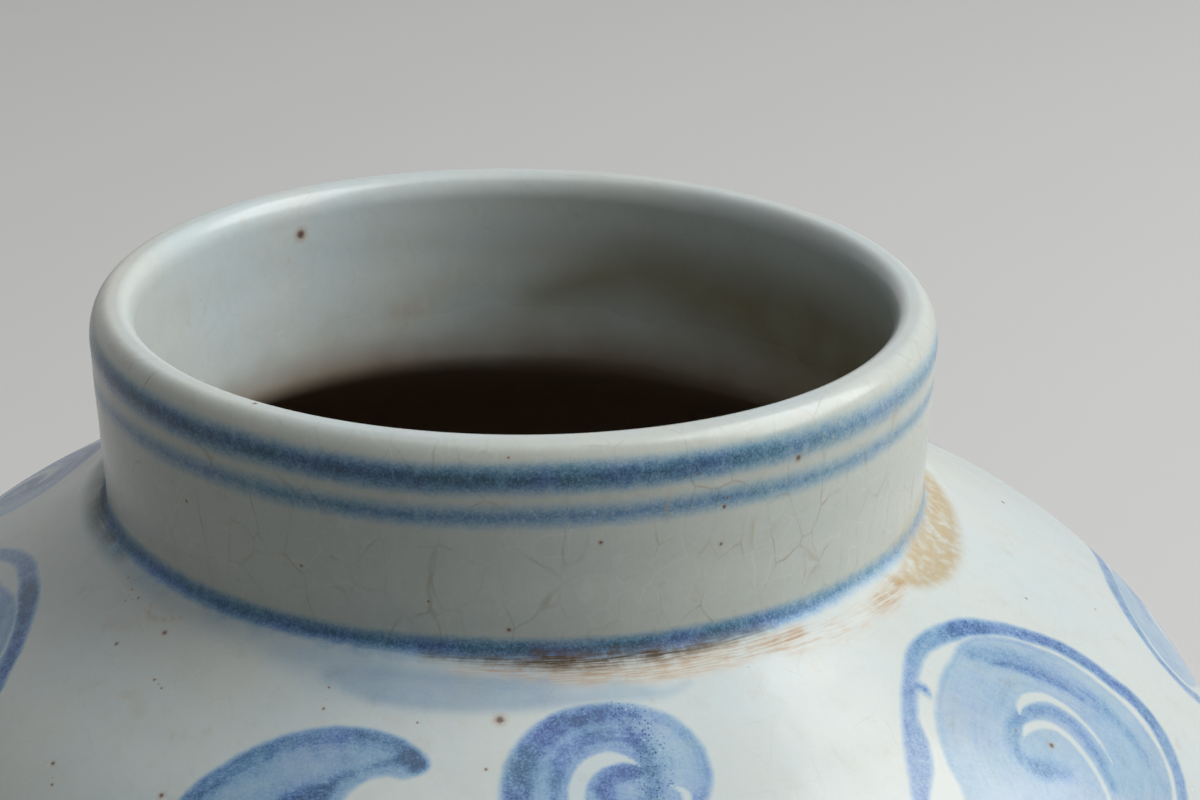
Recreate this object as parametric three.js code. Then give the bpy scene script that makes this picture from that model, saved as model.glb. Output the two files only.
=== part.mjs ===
// A wheel-thrown porcelain jar with a short neck and a full shoulder.
//
// It is put together the way a potter does it: a footed base, a lower bowl, an upper bowl and a neck
// collar are thrown one by one, and each is stuck to the next with a ring of slip (liquid clay). The
// collar's tongue drops into a step cut round the shoulder's opening, and the slip squeezed out of the
// belly joint leaves a bead inside. Millimetres, +Z up; the jar stands on z = 0, centred on the Z axis.

import * as THREE from 'three';

const radians = THREE.MathUtils.degToRad;

// Overall sizes
const jarHeight = 290;
const mouthRadius = 75;
const bellyRadius = 137.3;
const footRadius = 71.5;

// Lip: a tight inner edge, a gentle rise to a narrow land on the crest, and a roll over to the outside
const lipThickness = 8;
const lipEdgeRadius = 1;
const lipEdgeDrop = 0.9;
const lipLandWidth = 1.4;
const lipRollWidth = 3.6;
const lipRollDrop = 6.5;

// Neck: from the lip's crest to the corner where its wall would meet the shoulder
const neckHeight = 36.5;
const neckTaper = 1.5;
const creaseFilletRadius = 3.2;
const throatFilletRadius = 6;

// Shoulder: a straight slope out of the crease, then one round curve to the belly
const shoulderSlope = radians(30);
const shoulderCurveRadius = 75.4;
const bodyWall = 6.6;

// Lower body: each face is one curve that leaves the belly upright and ends at a taper to the vertical
const lowerFullness = 44;
const lowerTaper = radians(29);
const lowerTaperLength = 78;
const innerFullness = 42;
const innerTaper = radians(34);
const innerTaperLength = 64;

// Footed base: a floor plate with the foot ring turned from its underside
const footHeight = 12;
const footFlare = 1.2;
const footRingWidth = 10.5;
const footBevel = 1.6;
const floorThickness = 10;
const floorRadius = 56;
const floorFilletRadius = 16;
const recessFilletRadius = 4;

// Slip joints
const slipThickness = 0.8;
const tongueDepth = 3;
const tongueSeatWidth = 4;
const beadDepth = 2.6;
const beadHeight = 3.4;

// Fineness of the solids
const turnSteps = 64;
const rollSteps = 6;
const edgeSteps = 3;
const filletSteps = 3;
const shoulderSteps = 9;
const lowerSteps = 9;
const beadSteps = 6;
const shortestStep = 0.3;

const glaze = { color: 0xd6dbd6, roughness: 0.18, metalness: 0 };
const bareClay = { color: 0xcdb9a0, roughness: 0.85, metalness: 0 };
const driedSlip = { color: 0xc9cec9, roughness: 0.6, metalness: 0 };

// Main levels and radii
const cornerHeight = jarHeight - neckHeight;
const neckFootRadius = mouthRadius - neckTaper;
const boreRadius = mouthRadius - lipThickness;
const recessHeight = footHeight;
const floorHeight = recessHeight + floorThickness;
const lowerBowlHeight = floorHeight + slipThickness;

// The shoulder's curve touches the straight slope, and stands upright at the belly
const curveCentreRadius = bellyRadius - shoulderCurveRadius;
const bellyHeight = cornerHeight + (
  Math.sin(shoulderSlope) * (neckFootRadius - curveCentreRadius) - shoulderCurveRadius
) / Math.cos(shoulderSlope);

// The rounded corners of the crease and of the throat both turn from upright to the shoulder's slope
const cornerTurn = Math.PI / 2 - shoulderSlope;
const creaseReach = creaseFilletRadius * Math.tan(cornerTurn / 2);
const throatReach = throatFilletRadius * Math.tan(cornerTurn / 2);
const throatCornerHeight = cornerHeight
  + (neckFootRadius - boreRadius) * Math.tan(shoulderSlope)
  - bodyWall / Math.cos(shoulderSlope);

// The neck joint lies where the crease's round corner runs out onto the shoulder
const neckSeatHeight = cornerHeight - creaseReach * Math.sin(shoulderSlope);
const neckSeatEdge = neckFootRadius + creaseReach * Math.cos(shoulderSlope);
const tongueRadius = neckSeatEdge - tongueSeatWidth;
const tongueEnd = neckSeatHeight - tongueDepth;

// The belly joint lies at the widest level
const bellyJointTop = bellyHeight + slipThickness / 2;
const bellyJointBottom = bellyHeight - slipThickness / 2;
const beadTop = bellyHeight + beadHeight / 2;
const beadBottom = bellyHeight - beadHeight / 2;

// Points of a round or oval stretch. Angles run from the outward direction towards +Z.
function arc(centre, across, up, fromAngle, toAngle, steps) {
  const points = [];
  for (let i = 0; i <= steps; i++) {
    const angle = THREE.MathUtils.lerp(fromAngle, toAngle, i / steps);
    points.push(new THREE.Vector2(
      centre.x + across * Math.cos(angle),
      centre.y + up * Math.sin(angle),
    ));
  }
  return points;
}

// Points of a curve that starts straight down and ends at a taper to the vertical, running inwards
function taperingCurve(start, fullness, end, taper, taperLength) {
  return new THREE.CubicBezierCurve(
    start,
    new THREE.Vector2(start.x, start.y - fullness),
    new THREE.Vector2(end.x + taperLength * Math.sin(taper), end.y + taperLength * Math.cos(taper)),
    end,
  ).getPoints(lowerSteps);
}

// Outer face from the lip's land down to the foot ring's bevel, as points of falling height
function outerFace() {
  const lipRoll = arc(
    new THREE.Vector2(mouthRadius - lipRollWidth, jarHeight - lipRollDrop),
    lipRollWidth, lipRollDrop, Math.PI / 2, 0, rollSteps,
  );
  const crease = arc(
    new THREE.Vector2(neckFootRadius + creaseFilletRadius, cornerHeight + creaseReach),
    creaseFilletRadius, creaseFilletRadius, Math.PI, Math.PI + cornerTurn, filletSteps,
  );
  const shoulder = arc(
    new THREE.Vector2(curveCentreRadius, bellyHeight),
    shoulderCurveRadius, shoulderCurveRadius, cornerTurn, 0, shoulderSteps,
  );
  const lower = taperingCurve(
    new THREE.Vector2(bellyRadius, bellyHeight), lowerFullness,
    new THREE.Vector2(footRadius + footFlare, footHeight), lowerTaper, lowerTaperLength,
  );
  const bevel = new THREE.Vector2(footRadius, footBevel);
  return [...lipRoll, ...crease, ...shoulder, ...lower.slice(1), bevel];
}

// Inner face from the lip's land down to the floor, as points of falling height
function innerFace() {
  const landEdge = new THREE.Vector2(mouthRadius - lipRollWidth - lipLandWidth, jarHeight);
  const lipEdge = arc(
    new THREE.Vector2(boreRadius + lipEdgeRadius, jarHeight - lipEdgeDrop - lipEdgeRadius),
    lipEdgeRadius, lipEdgeRadius, Math.PI / 2, Math.PI, edgeSteps,
  );
  const throat = arc(
    new THREE.Vector2(boreRadius + throatFilletRadius, throatCornerHeight + throatReach),
    throatFilletRadius, throatFilletRadius, Math.PI, Math.PI + cornerTurn, filletSteps,
  );
  const shoulder = arc(
    new THREE.Vector2(curveCentreRadius, bellyHeight),
    shoulderCurveRadius - bodyWall, shoulderCurveRadius - bodyWall, cornerTurn, 0, shoulderSteps,
  );
  const floorFillet = arc(
    new THREE.Vector2(floorRadius, lowerBowlHeight + floorFilletRadius),
    floorFilletRadius, floorFilletRadius, -innerTaper, -Math.PI / 2, filletSteps,
  );
  const lower = taperingCurve(
    new THREE.Vector2(bellyRadius - bodyWall, bellyHeight), innerFullness,
    floorFillet[0], innerTaper, innerTaperLength,
  );
  const floorEdge = new THREE.Vector2(floorRadius, lowerBowlHeight);
  return [
    landEdge, ...lipEdge, ...throat, ...shoulder,
    ...lower.slice(1), ...floorFillet.slice(1, -1), floorEdge,
  ];
}

// The point of a face at a height, on the straight line between its neighbours
function pointAt(face, height) {
  const next = face.findIndex((point, i) => i > 0 && point.y <= height);
  const above = face[next - 1];
  const below = face[next];
  const share = (above.y - height) / (above.y - below.y);
  return new THREE.Vector2(THREE.MathUtils.lerp(above.x, below.x, share), height);
}

// The stretch of a face between two heights, cut exactly at both
function stretch(face, top, bottom) {
  const between = face.filter((point) => point.y < top - shortestStep && point.y > bottom + shortestStep);
  return [pointAt(face, top), ...between, pointAt(face, bottom)];
}

// A solid turned round +Z from a closed outline, whose points run down the outside and up the inside
function turned(name, outline, finish) {
  const section = [...outline, outline[0]].reverse();
  const geometry = new THREE.LatheGeometry(section, turnSteps);
  geometry.rotateX(Math.PI / 2);
  const mesh = new THREE.Mesh(geometry, new THREE.MeshStandardMaterial(finish));
  mesh.name = name;
  return mesh;
}

const outer = outerFace();
const inner = innerFace();

// The collar: lip, neck wall and rounded crease in one, with a tongue under its inner half
function neckCollar() {
  const outside = outer.filter((point) => point.y > neckSeatHeight + shortestStep);
  const inside = inner.filter((point) => point.y > tongueEnd + shortestStep);
  return turned('neck_collar', [
    ...outside,
    pointAt(outer, neckSeatHeight),
    new THREE.Vector2(tongueRadius, neckSeatHeight),
    new THREE.Vector2(tongueRadius, tongueEnd),
    pointAt(inner, tongueEnd),
    ...inside.reverse(),
  ], glaze);
}

// The slip under the collar follows the step: over the seat, down beside the tongue and below it
function neckSlip() {
  return turned('neck_slip', [
    ...stretch(outer, neckSeatHeight, neckSeatHeight - slipThickness),
    new THREE.Vector2(tongueRadius + slipThickness, neckSeatHeight - slipThickness),
    new THREE.Vector2(tongueRadius + slipThickness, tongueEnd - slipThickness),
    ...stretch(inner, tongueEnd, tongueEnd - slipThickness).reverse(),
    new THREE.Vector2(tongueRadius, tongueEnd),
    new THREE.Vector2(tongueRadius, neckSeatHeight),
  ], driedSlip);
}

// The upper bowl: the shoulder, thrown upside down, with the step cut round its opening
function upperBowl() {
  const top = neckSeatHeight - slipThickness;
  const step = tongueEnd - slipThickness;
  const inside = [
    ...stretch(inner, step, beadTop),
    ...stretch(inner, beadTop, bellyJointTop).slice(1),
  ];
  return turned('upper_bowl', [
    ...stretch(outer, top, bellyJointTop),
    ...inside.reverse(),
    new THREE.Vector2(tongueRadius + slipThickness, step),
    new THREE.Vector2(tongueRadius + slipThickness, top),
  ], glaze);
}

// The slip between the bowls, with the bead that it leaves inside over both edges
function bellySlip() {
  const middle = pointAt(inner, bellyHeight);
  const bead = arc(middle, beadDepth, beadHeight / 2, -Math.PI / 2, -Math.PI * 1.5, beadSteps);
  return turned('belly_slip', [
    ...stretch(outer, bellyJointTop, bellyJointBottom),
    ...stretch(inner, bellyJointBottom, beadBottom),
    ...bead.slice(1, -1),
    ...stretch(inner, beadTop, bellyJointTop),
  ], driedSlip);
}

// The lower bowl: thrown without a floor, open at both ends
function lowerBowl() {
  const inside = [
    ...stretch(inner, bellyJointBottom, beadBottom),
    ...stretch(inner, beadBottom, lowerBowlHeight).slice(1),
  ];
  return turned('lower_bowl', [
    ...stretch(outer, bellyJointBottom, lowerBowlHeight),
    ...inside.reverse(),
  ], glaze);
}

// The slip between the lower bowl and the floor plate
function baseSlip() {
  return turned('base_slip', [
    ...stretch(outer, lowerBowlHeight, floorHeight),
    new THREE.Vector2(floorRadius, floorHeight),
    new THREE.Vector2(floorRadius, lowerBowlHeight),
  ], driedSlip);
}

// The footed base: floor plate, foot ring with bevelled edges, and the rounded recess inside the ring
function footedBase() {
  const ringInside = footRadius - footRingWidth;
  const recess = arc(
    new THREE.Vector2(ringInside - recessFilletRadius, recessHeight - recessFilletRadius),
    recessFilletRadius, recessFilletRadius, 0, Math.PI / 2, filletSteps,
  );
  return turned('footed_base', [
    new THREE.Vector2(0, floorHeight),
    ...stretch(outer, floorHeight, footBevel),
    new THREE.Vector2(footRadius - footBevel, 0),
    new THREE.Vector2(ringInside + footBevel, 0),
    new THREE.Vector2(ringInside, footBevel),
    ...recess,
    new THREE.Vector2(0, recessHeight),
  ], bareClay);
}

const jar = new THREE.Group();
jar.add(footedBase(), baseSlip(), lowerBowl(), bellySlip(), upperBowl(), neckSlip(), neckCollar());

export default jar;
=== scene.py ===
"""A blue-and-white porcelain jar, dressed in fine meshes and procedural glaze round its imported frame.

Each thrown section of the jar is a surface of two parameters: the distance along the jar's outline and
the angle round its axis. The outline is one smooth curve outside and one inside, and every section is
cut from them, so the sections meet without a step. The brushwork is laid on the outer face as distances
from brush strokes, and the glaze's shader turns these into cobalt under glaze.
"""

import logging
from dataclasses import dataclass, field
from enum import Enum
from typing import Sequence

import bpy
import numpy as np
from mathutils import Matrix, Vector

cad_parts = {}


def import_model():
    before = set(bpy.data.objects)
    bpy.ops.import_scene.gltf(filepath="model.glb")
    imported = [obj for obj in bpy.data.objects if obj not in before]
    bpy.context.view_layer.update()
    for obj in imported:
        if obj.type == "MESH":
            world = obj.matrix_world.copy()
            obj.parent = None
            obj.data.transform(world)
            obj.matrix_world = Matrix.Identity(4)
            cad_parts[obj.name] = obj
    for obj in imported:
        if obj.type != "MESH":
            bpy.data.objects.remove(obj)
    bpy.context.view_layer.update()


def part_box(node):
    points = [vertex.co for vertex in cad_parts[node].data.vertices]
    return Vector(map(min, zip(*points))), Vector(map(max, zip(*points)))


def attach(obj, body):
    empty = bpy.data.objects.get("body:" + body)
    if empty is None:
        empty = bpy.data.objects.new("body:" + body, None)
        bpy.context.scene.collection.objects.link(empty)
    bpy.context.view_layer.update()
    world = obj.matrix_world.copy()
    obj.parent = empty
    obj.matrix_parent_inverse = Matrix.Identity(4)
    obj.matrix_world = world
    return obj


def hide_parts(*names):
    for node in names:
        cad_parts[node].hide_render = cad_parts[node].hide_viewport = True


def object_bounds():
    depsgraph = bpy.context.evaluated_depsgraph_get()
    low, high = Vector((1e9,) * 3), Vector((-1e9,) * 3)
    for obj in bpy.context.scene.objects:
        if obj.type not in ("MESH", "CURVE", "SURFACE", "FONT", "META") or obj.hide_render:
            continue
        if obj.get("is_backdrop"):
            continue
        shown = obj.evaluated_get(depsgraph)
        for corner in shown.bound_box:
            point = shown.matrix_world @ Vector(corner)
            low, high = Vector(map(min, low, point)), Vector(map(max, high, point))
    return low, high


Array = np.ndarray
Point = tuple[float, float]
Colour = tuple[float, ...]
Socket = bpy.types.NodeSocket

MM = 0.001
LOG = logging.getLogger("jar")

# How many points an arc and a long curve have, and how a small arc is thinned out.
ARC_POINTS = 91
CURVE_POINTS = 181
THINNED = slice(None, None, 10)

# Points closer together than this, in metres, are one. Divisors are kept above the other number.
SAME_PLACE = 1e-7
TINY = 1e-9


class Slot(Enum):
    """The record's material slots."""

    GLAZE = "glazed_porcelain"
    BASE = "footed_base"
    SLIP = "dried_slip"


class Finish(Enum):
    """The finishes that a section wears, in the order of its material slots."""

    GLAZE = 0
    BISCUIT = 1
    FOOT_RIM = 2


def darker(colour: Colour, share: float) -> Colour:
    """A colour times a share, opaque."""
    return tuple(part * share for part in colour[:3]) + (1,)


def ellipse(centre: Point, across: float, up: float, start: float, end: float) -> Array:
    """Points of a round or oval stretch.

    Args:
        centre: Its centre, as radius and height.
        across: Its half size across.
        up: Its half size upwards.
        start: The first angle in degrees, from outwards towards +Z.
        end: The last angle.

    Returns:
        Rows of radius and height: the centre plus the half sizes times the angle's cosine and sine.
    """
    angle = np.radians(np.linspace(start, end, ARC_POINTS))
    return np.stack([centre[0] + across * np.cos(angle), centre[1] + up * np.sin(angle)], -1)


def cubic(a: Point, b: Point, c: Point, d: Point) -> Array:
    """Points of the cubic curve from a to d that is drawn towards b and c.

    Args:
        a: The start.
        b: The first handle.
        c: The second handle.
        d: The end.

    Returns:
        Rows of radius and height: the sum of the points, weighted by s^3, 3 s^2 t, 3 s t^2 and t^3, where
        t runs from 0 to 1 and s is 1 - t.
    """
    t = np.linspace(0, 1, CURVE_POINTS)[:, None]
    s = 1 - t
    return s**3 * np.array(a) + 3 * s**2 * t * np.array(b) + 3 * s * t**2 * np.array(c) + t**3 * np.array(d)


@dataclass(frozen=True)
class Face:
    """One face of the wall, from the lip to the foot.

    Attributes:
        radius: Distance of each point from the axis.
        height: Its height.
        across: The outward part of its normal.
        up: The upward part of its normal.
        run: Its distance along the skin from the neck's corner, growing outside towards the foot.
        FINENESS: The spacing of the points.
        SOFTENING: How many of them a normal is averaged over.
    """

    radius: Array
    height: Array
    across: Array
    up: Array
    run: Array

    FINENESS = 0.1 * MM
    SOFTENING = 9

    @classmethod
    def through(cls, points: Array, outside: bool) -> "Face":
        """A face through points of falling height.

        The points are joined and taken again at an even spacing. The normal is the tangent turned a
        quarter, averaged over a short stretch so that no kink shows.

        Args:
            points: Rows of radius and height.
            outside: Whether the normals point away from the axis.

        Returns:
            The face, with its run counted from its first point.
        """
        step = np.hypot(*np.diff(points, axis=0).T)
        kept = np.concatenate([[True], step > SAME_PLACE])
        points = points[kept]
        length = np.concatenate([[0], np.cumsum(np.hypot(*np.diff(points, axis=0).T))])
        run = np.linspace(0, length[-1], int(length[-1] / cls.FINENESS) + 1)
        radius, height = (np.interp(run, length, points[:, i]) for i in (0, 1))
        side = 1 if outside else -1
        normal = np.stack([-np.gradient(height, run), np.gradient(radius, run)], -1) * side
        window = np.ones(cls.SOFTENING) / cls.SOFTENING
        pad = cls.SOFTENING // 2
        normal = np.stack([np.convolve(np.pad(n, pad, "edge"), window, "valid") for n in normal.T], -1)
        normal /= np.linalg.norm(normal, axis=1, keepdims=True)
        return cls(radius, height, normal[:, 0], normal[:, 1], run)

    def shifted(self, first: float, direction: int = 1) -> "Face":
        """The same face with its run counted from another value, forwards or backwards."""
        return Face(self.radius, self.height, self.across, self.up, first + direction * self.run)

    def run_at(self, level: float) -> float:
        """The run where the face comes down to a level."""
        return float(np.interp(-level, -self.height, self.run))

    def at(self, run: Array) -> "Face":
        """The face's points at these runs, which go the same way as its own.

        Args:
            run: Distances along the skin.

        Returns:
            A face of the points there.
        """
        order = np.argsort(self.run)
        parts = (self.radius, self.height, self.across, self.up)
        taken = (np.interp(run, self.run[order], part[order]) for part in parts)
        return Face(*taken, np.asarray(run, float))


@dataclass(frozen=True)
class Outline:
    """The jar's outline. Lengths are in metres, angles in degrees.

    Attributes:
        jar_height: Height of the lip's crest, from the frame.
        belly_radius: The widest radius, from the frame.
        belly_height: Its height, from the frame.
        floor_height: Top of the floor plate, from the frame.
        floor_skin: Top of the slip on the floor plate, from the frame.
        mouth_radius: The lip's outer radius.
        bore_radius: The neck's inner radius.
        lip_roll: How far the lip's outer roll reaches inwards and down.
        lip_land: The flat on the lip's crest.
        lip_inner_drop: How far the lip's inner roll reaches down.
        lip_inner_pull: Where its curve's handles lie, inwards and down, as shares of it.
        neck_height: From the lip's crest down to the neck's corner.
        neck_foot_radius: The neck's outer radius at its foot.
        crease_fillet: The radius of the crease outside.
        throat_fillet: The radius of the throat inside.
        seat_width: How far the collar's seat reaches in from the outer face.
        shoulder_slope: The shoulder's slope at the neck.
        wall: The wall's thickness.
        lower_fullness: How long the lower body's outer face stays upright below the belly.
        lower_taper: Its slope from upright above the foot.
        lower_taper_length: How long it keeps that slope.
        inner_fullness: The same as lower_fullness, inside.
        inner_taper: The same as lower_taper, inside.
        inner_taper_length: The same as lower_taper_length, inside.
        foot_radius: The foot's outer radius.
        foot_flare: How much wider it is at its top.
        foot_height: The foot ring's height.
        foot_bevel: The height and width of the rim's bevels.
        bevel_bulge: Where a bevel's middle corner lies, inwards and up, as shares of it.
        floor_radius: The radius of the floor's flat.
        floor_fillet: The radius of the curve round it.
    """

    jar_height: float
    belly_radius: float
    belly_height: float
    floor_height: float
    floor_skin: float
    mouth_radius: float = 75 * MM
    bore_radius: float = 67 * MM
    lip_roll: Point = (3.6 * MM, 6.5 * MM)
    lip_land: float = 1.4 * MM
    lip_inner_drop: float = 4.8 * MM
    lip_inner_pull: Point = (0.64, 0.5)
    neck_height: float = 36.5 * MM
    neck_foot_radius: float = 73.5 * MM
    crease_fillet: float = 3.2 * MM
    throat_fillet: float = 6 * MM
    seat_width: float = 4 * MM
    shoulder_slope: float = 30
    wall: float = 6.6 * MM
    lower_fullness: float = 44 * MM
    lower_taper: float = 29
    lower_taper_length: float = 78 * MM
    inner_fullness: float = 42 * MM
    inner_taper: float = 34
    inner_taper_length: float = 64 * MM
    foot_radius: float = 71.5 * MM
    foot_flare: float = 1.2 * MM
    foot_height: float = 12 * MM
    foot_bevel: float = 1.6 * MM
    bevel_bulge: Point = (0.5, 0.35)
    floor_radius: float = 56 * MM
    floor_fillet: float = 16 * MM

    @classmethod
    def from_frame(cls) -> "Outline":
        """The outline with its main levels taken from the CAD nodes.

        Returns:
            The outline, with its own sizes for all else.
        """
        _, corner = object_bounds()
        belly_low, belly_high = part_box("belly_slip")
        floor_low, floor_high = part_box("base_slip")
        return cls(
            jar_height=corner[2],
            belly_radius=corner[0],
            belly_height=(belly_low[2] + belly_high[2]) / 2,
            floor_height=floor_low[2],
            floor_skin=floor_high[2],
        )

    @property
    def corner_height(self) -> float:
        """The level where the neck's wall would meet the shoulder's slope."""
        return self.jar_height - self.neck_height

    @property
    def corner_turn(self) -> float:
        """The angle by which the wall turns from upright to the shoulder's slope."""
        return 90 - self.shoulder_slope

    @property
    def curve_radius(self) -> float:
        """The radius of the shoulder's curve, which touches the slope and stands upright at the belly."""
        slope = np.radians(self.shoulder_slope)
        reach = self.belly_radius - self.neck_foot_radius
        rise = self.corner_height - self.belly_height
        return (rise * np.cos(slope) - reach * np.sin(slope)) / (1 - np.sin(slope))

    def outer(self) -> Face:
        """The outer face: lip roll, neck, rounded crease, slope, shoulder, lower body and bevel.

        Returns:
            The face, with its run counted from the neck's corner.
        """
        roll, drop = self.lip_roll
        reach = self.crease_fillet * np.tan(np.radians(self.corner_turn) / 2)
        centre = self.belly_radius - self.curve_radius
        taper = np.radians(self.lower_taper)
        foot = (self.foot_radius + self.foot_flare, self.foot_height)
        points = np.concatenate([
            [(self.mouth_radius - roll - self.lip_land, self.jar_height)],
            ellipse((self.mouth_radius - roll, self.jar_height - drop), roll, drop, 90, 0),
            ellipse(
                (self.neck_foot_radius + self.crease_fillet, self.corner_height + reach),
                self.crease_fillet, self.crease_fillet, 180, 180 + self.corner_turn,
            ),
            ellipse((centre, self.belly_height), self.curve_radius, self.curve_radius, self.corner_turn, 0),
            cubic(
                (self.belly_radius, self.belly_height),
                (self.belly_radius, self.belly_height - self.lower_fullness),
                (
                    foot[0] + self.lower_taper_length * np.sin(taper),
                    foot[1] + self.lower_taper_length * np.cos(taper),
                ),
                foot,
            ),
            [(self.foot_radius, self.foot_bevel)],
        ])
        face = Face.through(points, outside=True)
        return face.shifted(-face.run_at(self.corner_height))

    def inner(self, lip_run: float) -> Face:
        """The inner face: convex lip, bore, rounded throat, shoulder, lower body and floor.

        Args:
            lip_run: The outer face's run at the lip's crest, from which this face counts backwards.

        Returns:
            The face, with its run falling from the lip to the floor.
        """
        crest = self.mouth_radius - self.lip_roll[0] - self.lip_land
        roll, drop = crest - self.bore_radius, self.lip_inner_drop
        pull_in, pull_down = self.lip_inner_pull
        slope = np.radians(self.shoulder_slope)
        reach = self.throat_fillet * np.tan(np.radians(self.corner_turn) / 2)
        throat = (
            self.corner_height + (self.neck_foot_radius - self.bore_radius) * np.tan(slope)
            - self.wall / np.cos(slope)
        )
        inner_radius = self.curve_radius - self.wall
        centre = self.belly_radius - self.curve_radius
        taper = np.radians(self.inner_taper)
        floor = ellipse(
            (self.floor_radius, self.floor_skin + self.floor_fillet),
            self.floor_fillet, self.floor_fillet, -self.inner_taper, -90,
        )
        points = np.concatenate([
            cubic(
                (crest, self.jar_height), (crest - pull_in * roll, self.jar_height),
                (self.bore_radius, self.jar_height - pull_down * drop),
                (self.bore_radius, self.jar_height - drop),
            ),
            ellipse(
                (self.bore_radius + self.throat_fillet, throat + reach),
                self.throat_fillet, self.throat_fillet, 180, 180 + self.corner_turn,
            ),
            ellipse((centre, self.belly_height), inner_radius, inner_radius, self.corner_turn, 0),
            cubic(
                (self.belly_radius - self.wall, self.belly_height),
                (self.belly_radius - self.wall, self.belly_height - self.inner_fullness),
                (
                    floor[0, 0] + self.inner_taper_length * np.sin(taper),
                    floor[0, 1] + self.inner_taper_length * np.cos(taper),
                ),
                tuple(floor[0]),
            ),
            floor,
        ])
        return Face.through(points, outside=False).shifted(lip_run, direction=-1)


@dataclass(frozen=True)
class HandThrown:
    """The unevenness that throwing and firing leave: the whole jar is bent through one smooth rule.

    Attributes:
        belly_height: The level below which the neck's lean has died out.
        corner_height: The level above which the lean is whole.
        lean: How much lower the mouth lies per metre towards +X.
        pivot: The X, to the left, that the lean leaves where it is.
        out_of_round: The depth of the out-of-round waves at the belly.
        ring_depth: The depth of the throwing rings.
        ring_pitch: Their spacing up the wall.
        relief: How far the belly is drawn in to keep the waves inside the frame's box.
        full_reach: How far above and below the belly the waves reach.
        calm: The height over which the rings begin above the foot, and the least radius that they bend.
        waves: Each wave's count round the jar, its turn, its drift per metre up and its share.
        ring_drift: How the rings' turn changes with the angle, then with height, and how fast that is.
        PROBE: How far to each side of a point the bend is compared.
    """

    belly_height: float
    corner_height: float
    lean: float = 0.0116
    pivot: float = -75 * MM
    out_of_round: float = 0.22 * MM
    ring_depth: float = 0.035 * MM
    ring_pitch: float = 11 * MM
    relief: float = 0.42 * MM
    full_reach: float = 70 * MM
    calm: float = 20 * MM
    waves: tuple[tuple[float, ...], ...] = ((2, 0.7, 6, 0.5), (3, -1.1, -9, 0.3), (5, 2.3, 14, 0.2))
    ring_drift: tuple[float, float, float] = (0.8, 3, 31)

    PROBE = 0.05 * MM

    def bend(self, points: Array) -> Array:
        """Bends points of the true outline into the hand-thrown jar.

        The radius changes by waves round the axis that drift with height, and by fine rings up the wall.
        The neck is tipped: its height falls in proportion to X, blended in between belly and neck.

        Args:
            points: Rows of x, y and z.

        Returns:
            The bent rows.
        """
        x, y, z = points.T
        angle = np.arctan2(x, -y)
        full = np.exp(-(((z - self.belly_height) / self.full_reach) ** 2))
        waves = sum(
            np.cos(count * angle + turn + z * drift) * share for count, turn, drift, share in self.waves
        )
        by_angle, by_height, pace = self.ring_drift
        drifted = by_angle * np.sin(angle) + by_height * np.sin(z * pace)
        rings = np.sin(2 * np.pi * z / self.ring_pitch + drifted)
        above_foot = np.clip(z / self.calm, 0, 1)
        change = (waves * self.out_of_round + rings * self.ring_depth - self.relief) * full
        change += rings * self.ring_depth * (1 - full) * above_foot
        radius = np.hypot(x, y)
        factor = 1 + change / np.maximum(radius, self.calm)
        share = np.clip((z - self.belly_height) / (self.corner_height - self.belly_height), 0, 1)
        share = share * share * (3 - 2 * share)
        lower = self.lean * (x - self.pivot) * share
        return np.stack([x * factor, y * factor, z - lower], -1)

    def turn(self, points: Array, normals: Array) -> Array:
        """Turns normals with the bend, by the cofactors of its change from place to place.

        Args:
            points: Rows of x, y and z before the bend.
            normals: Their unit normals.

        Returns:
            Unit normals of the bent surface.
        """
        a, b, c = (
            (self.bend(points + offset) - self.bend(points - offset)) / (2 * self.PROBE)
            for offset in np.eye(3) * self.PROBE
        )
        turned = (
            np.cross(b, c) * normals[:, :1]
            + np.cross(c, a) * normals[:, 1:2]
            + np.cross(a, b) * normals[:, 2:]
        )
        return turned / np.linalg.norm(turned, axis=1, keepdims=True)


@dataclass(frozen=True)
class Wheel:
    """The angles at which each outline is repeated round the axis.

    Attributes:
        columns: How many there are.
        crowding: How much closer together they lie in front, and wider apart behind.
    """

    columns: int = 600
    crowding: float = 0.3

    def angles(self) -> Array:
        """Angles in radians from -Y towards +X: an even turn less its sine, so dense at the front."""
        even = np.linspace(-np.pi, np.pi, self.columns, endpoint=False)
        return even - self.crowding * np.sin(even)


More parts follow.
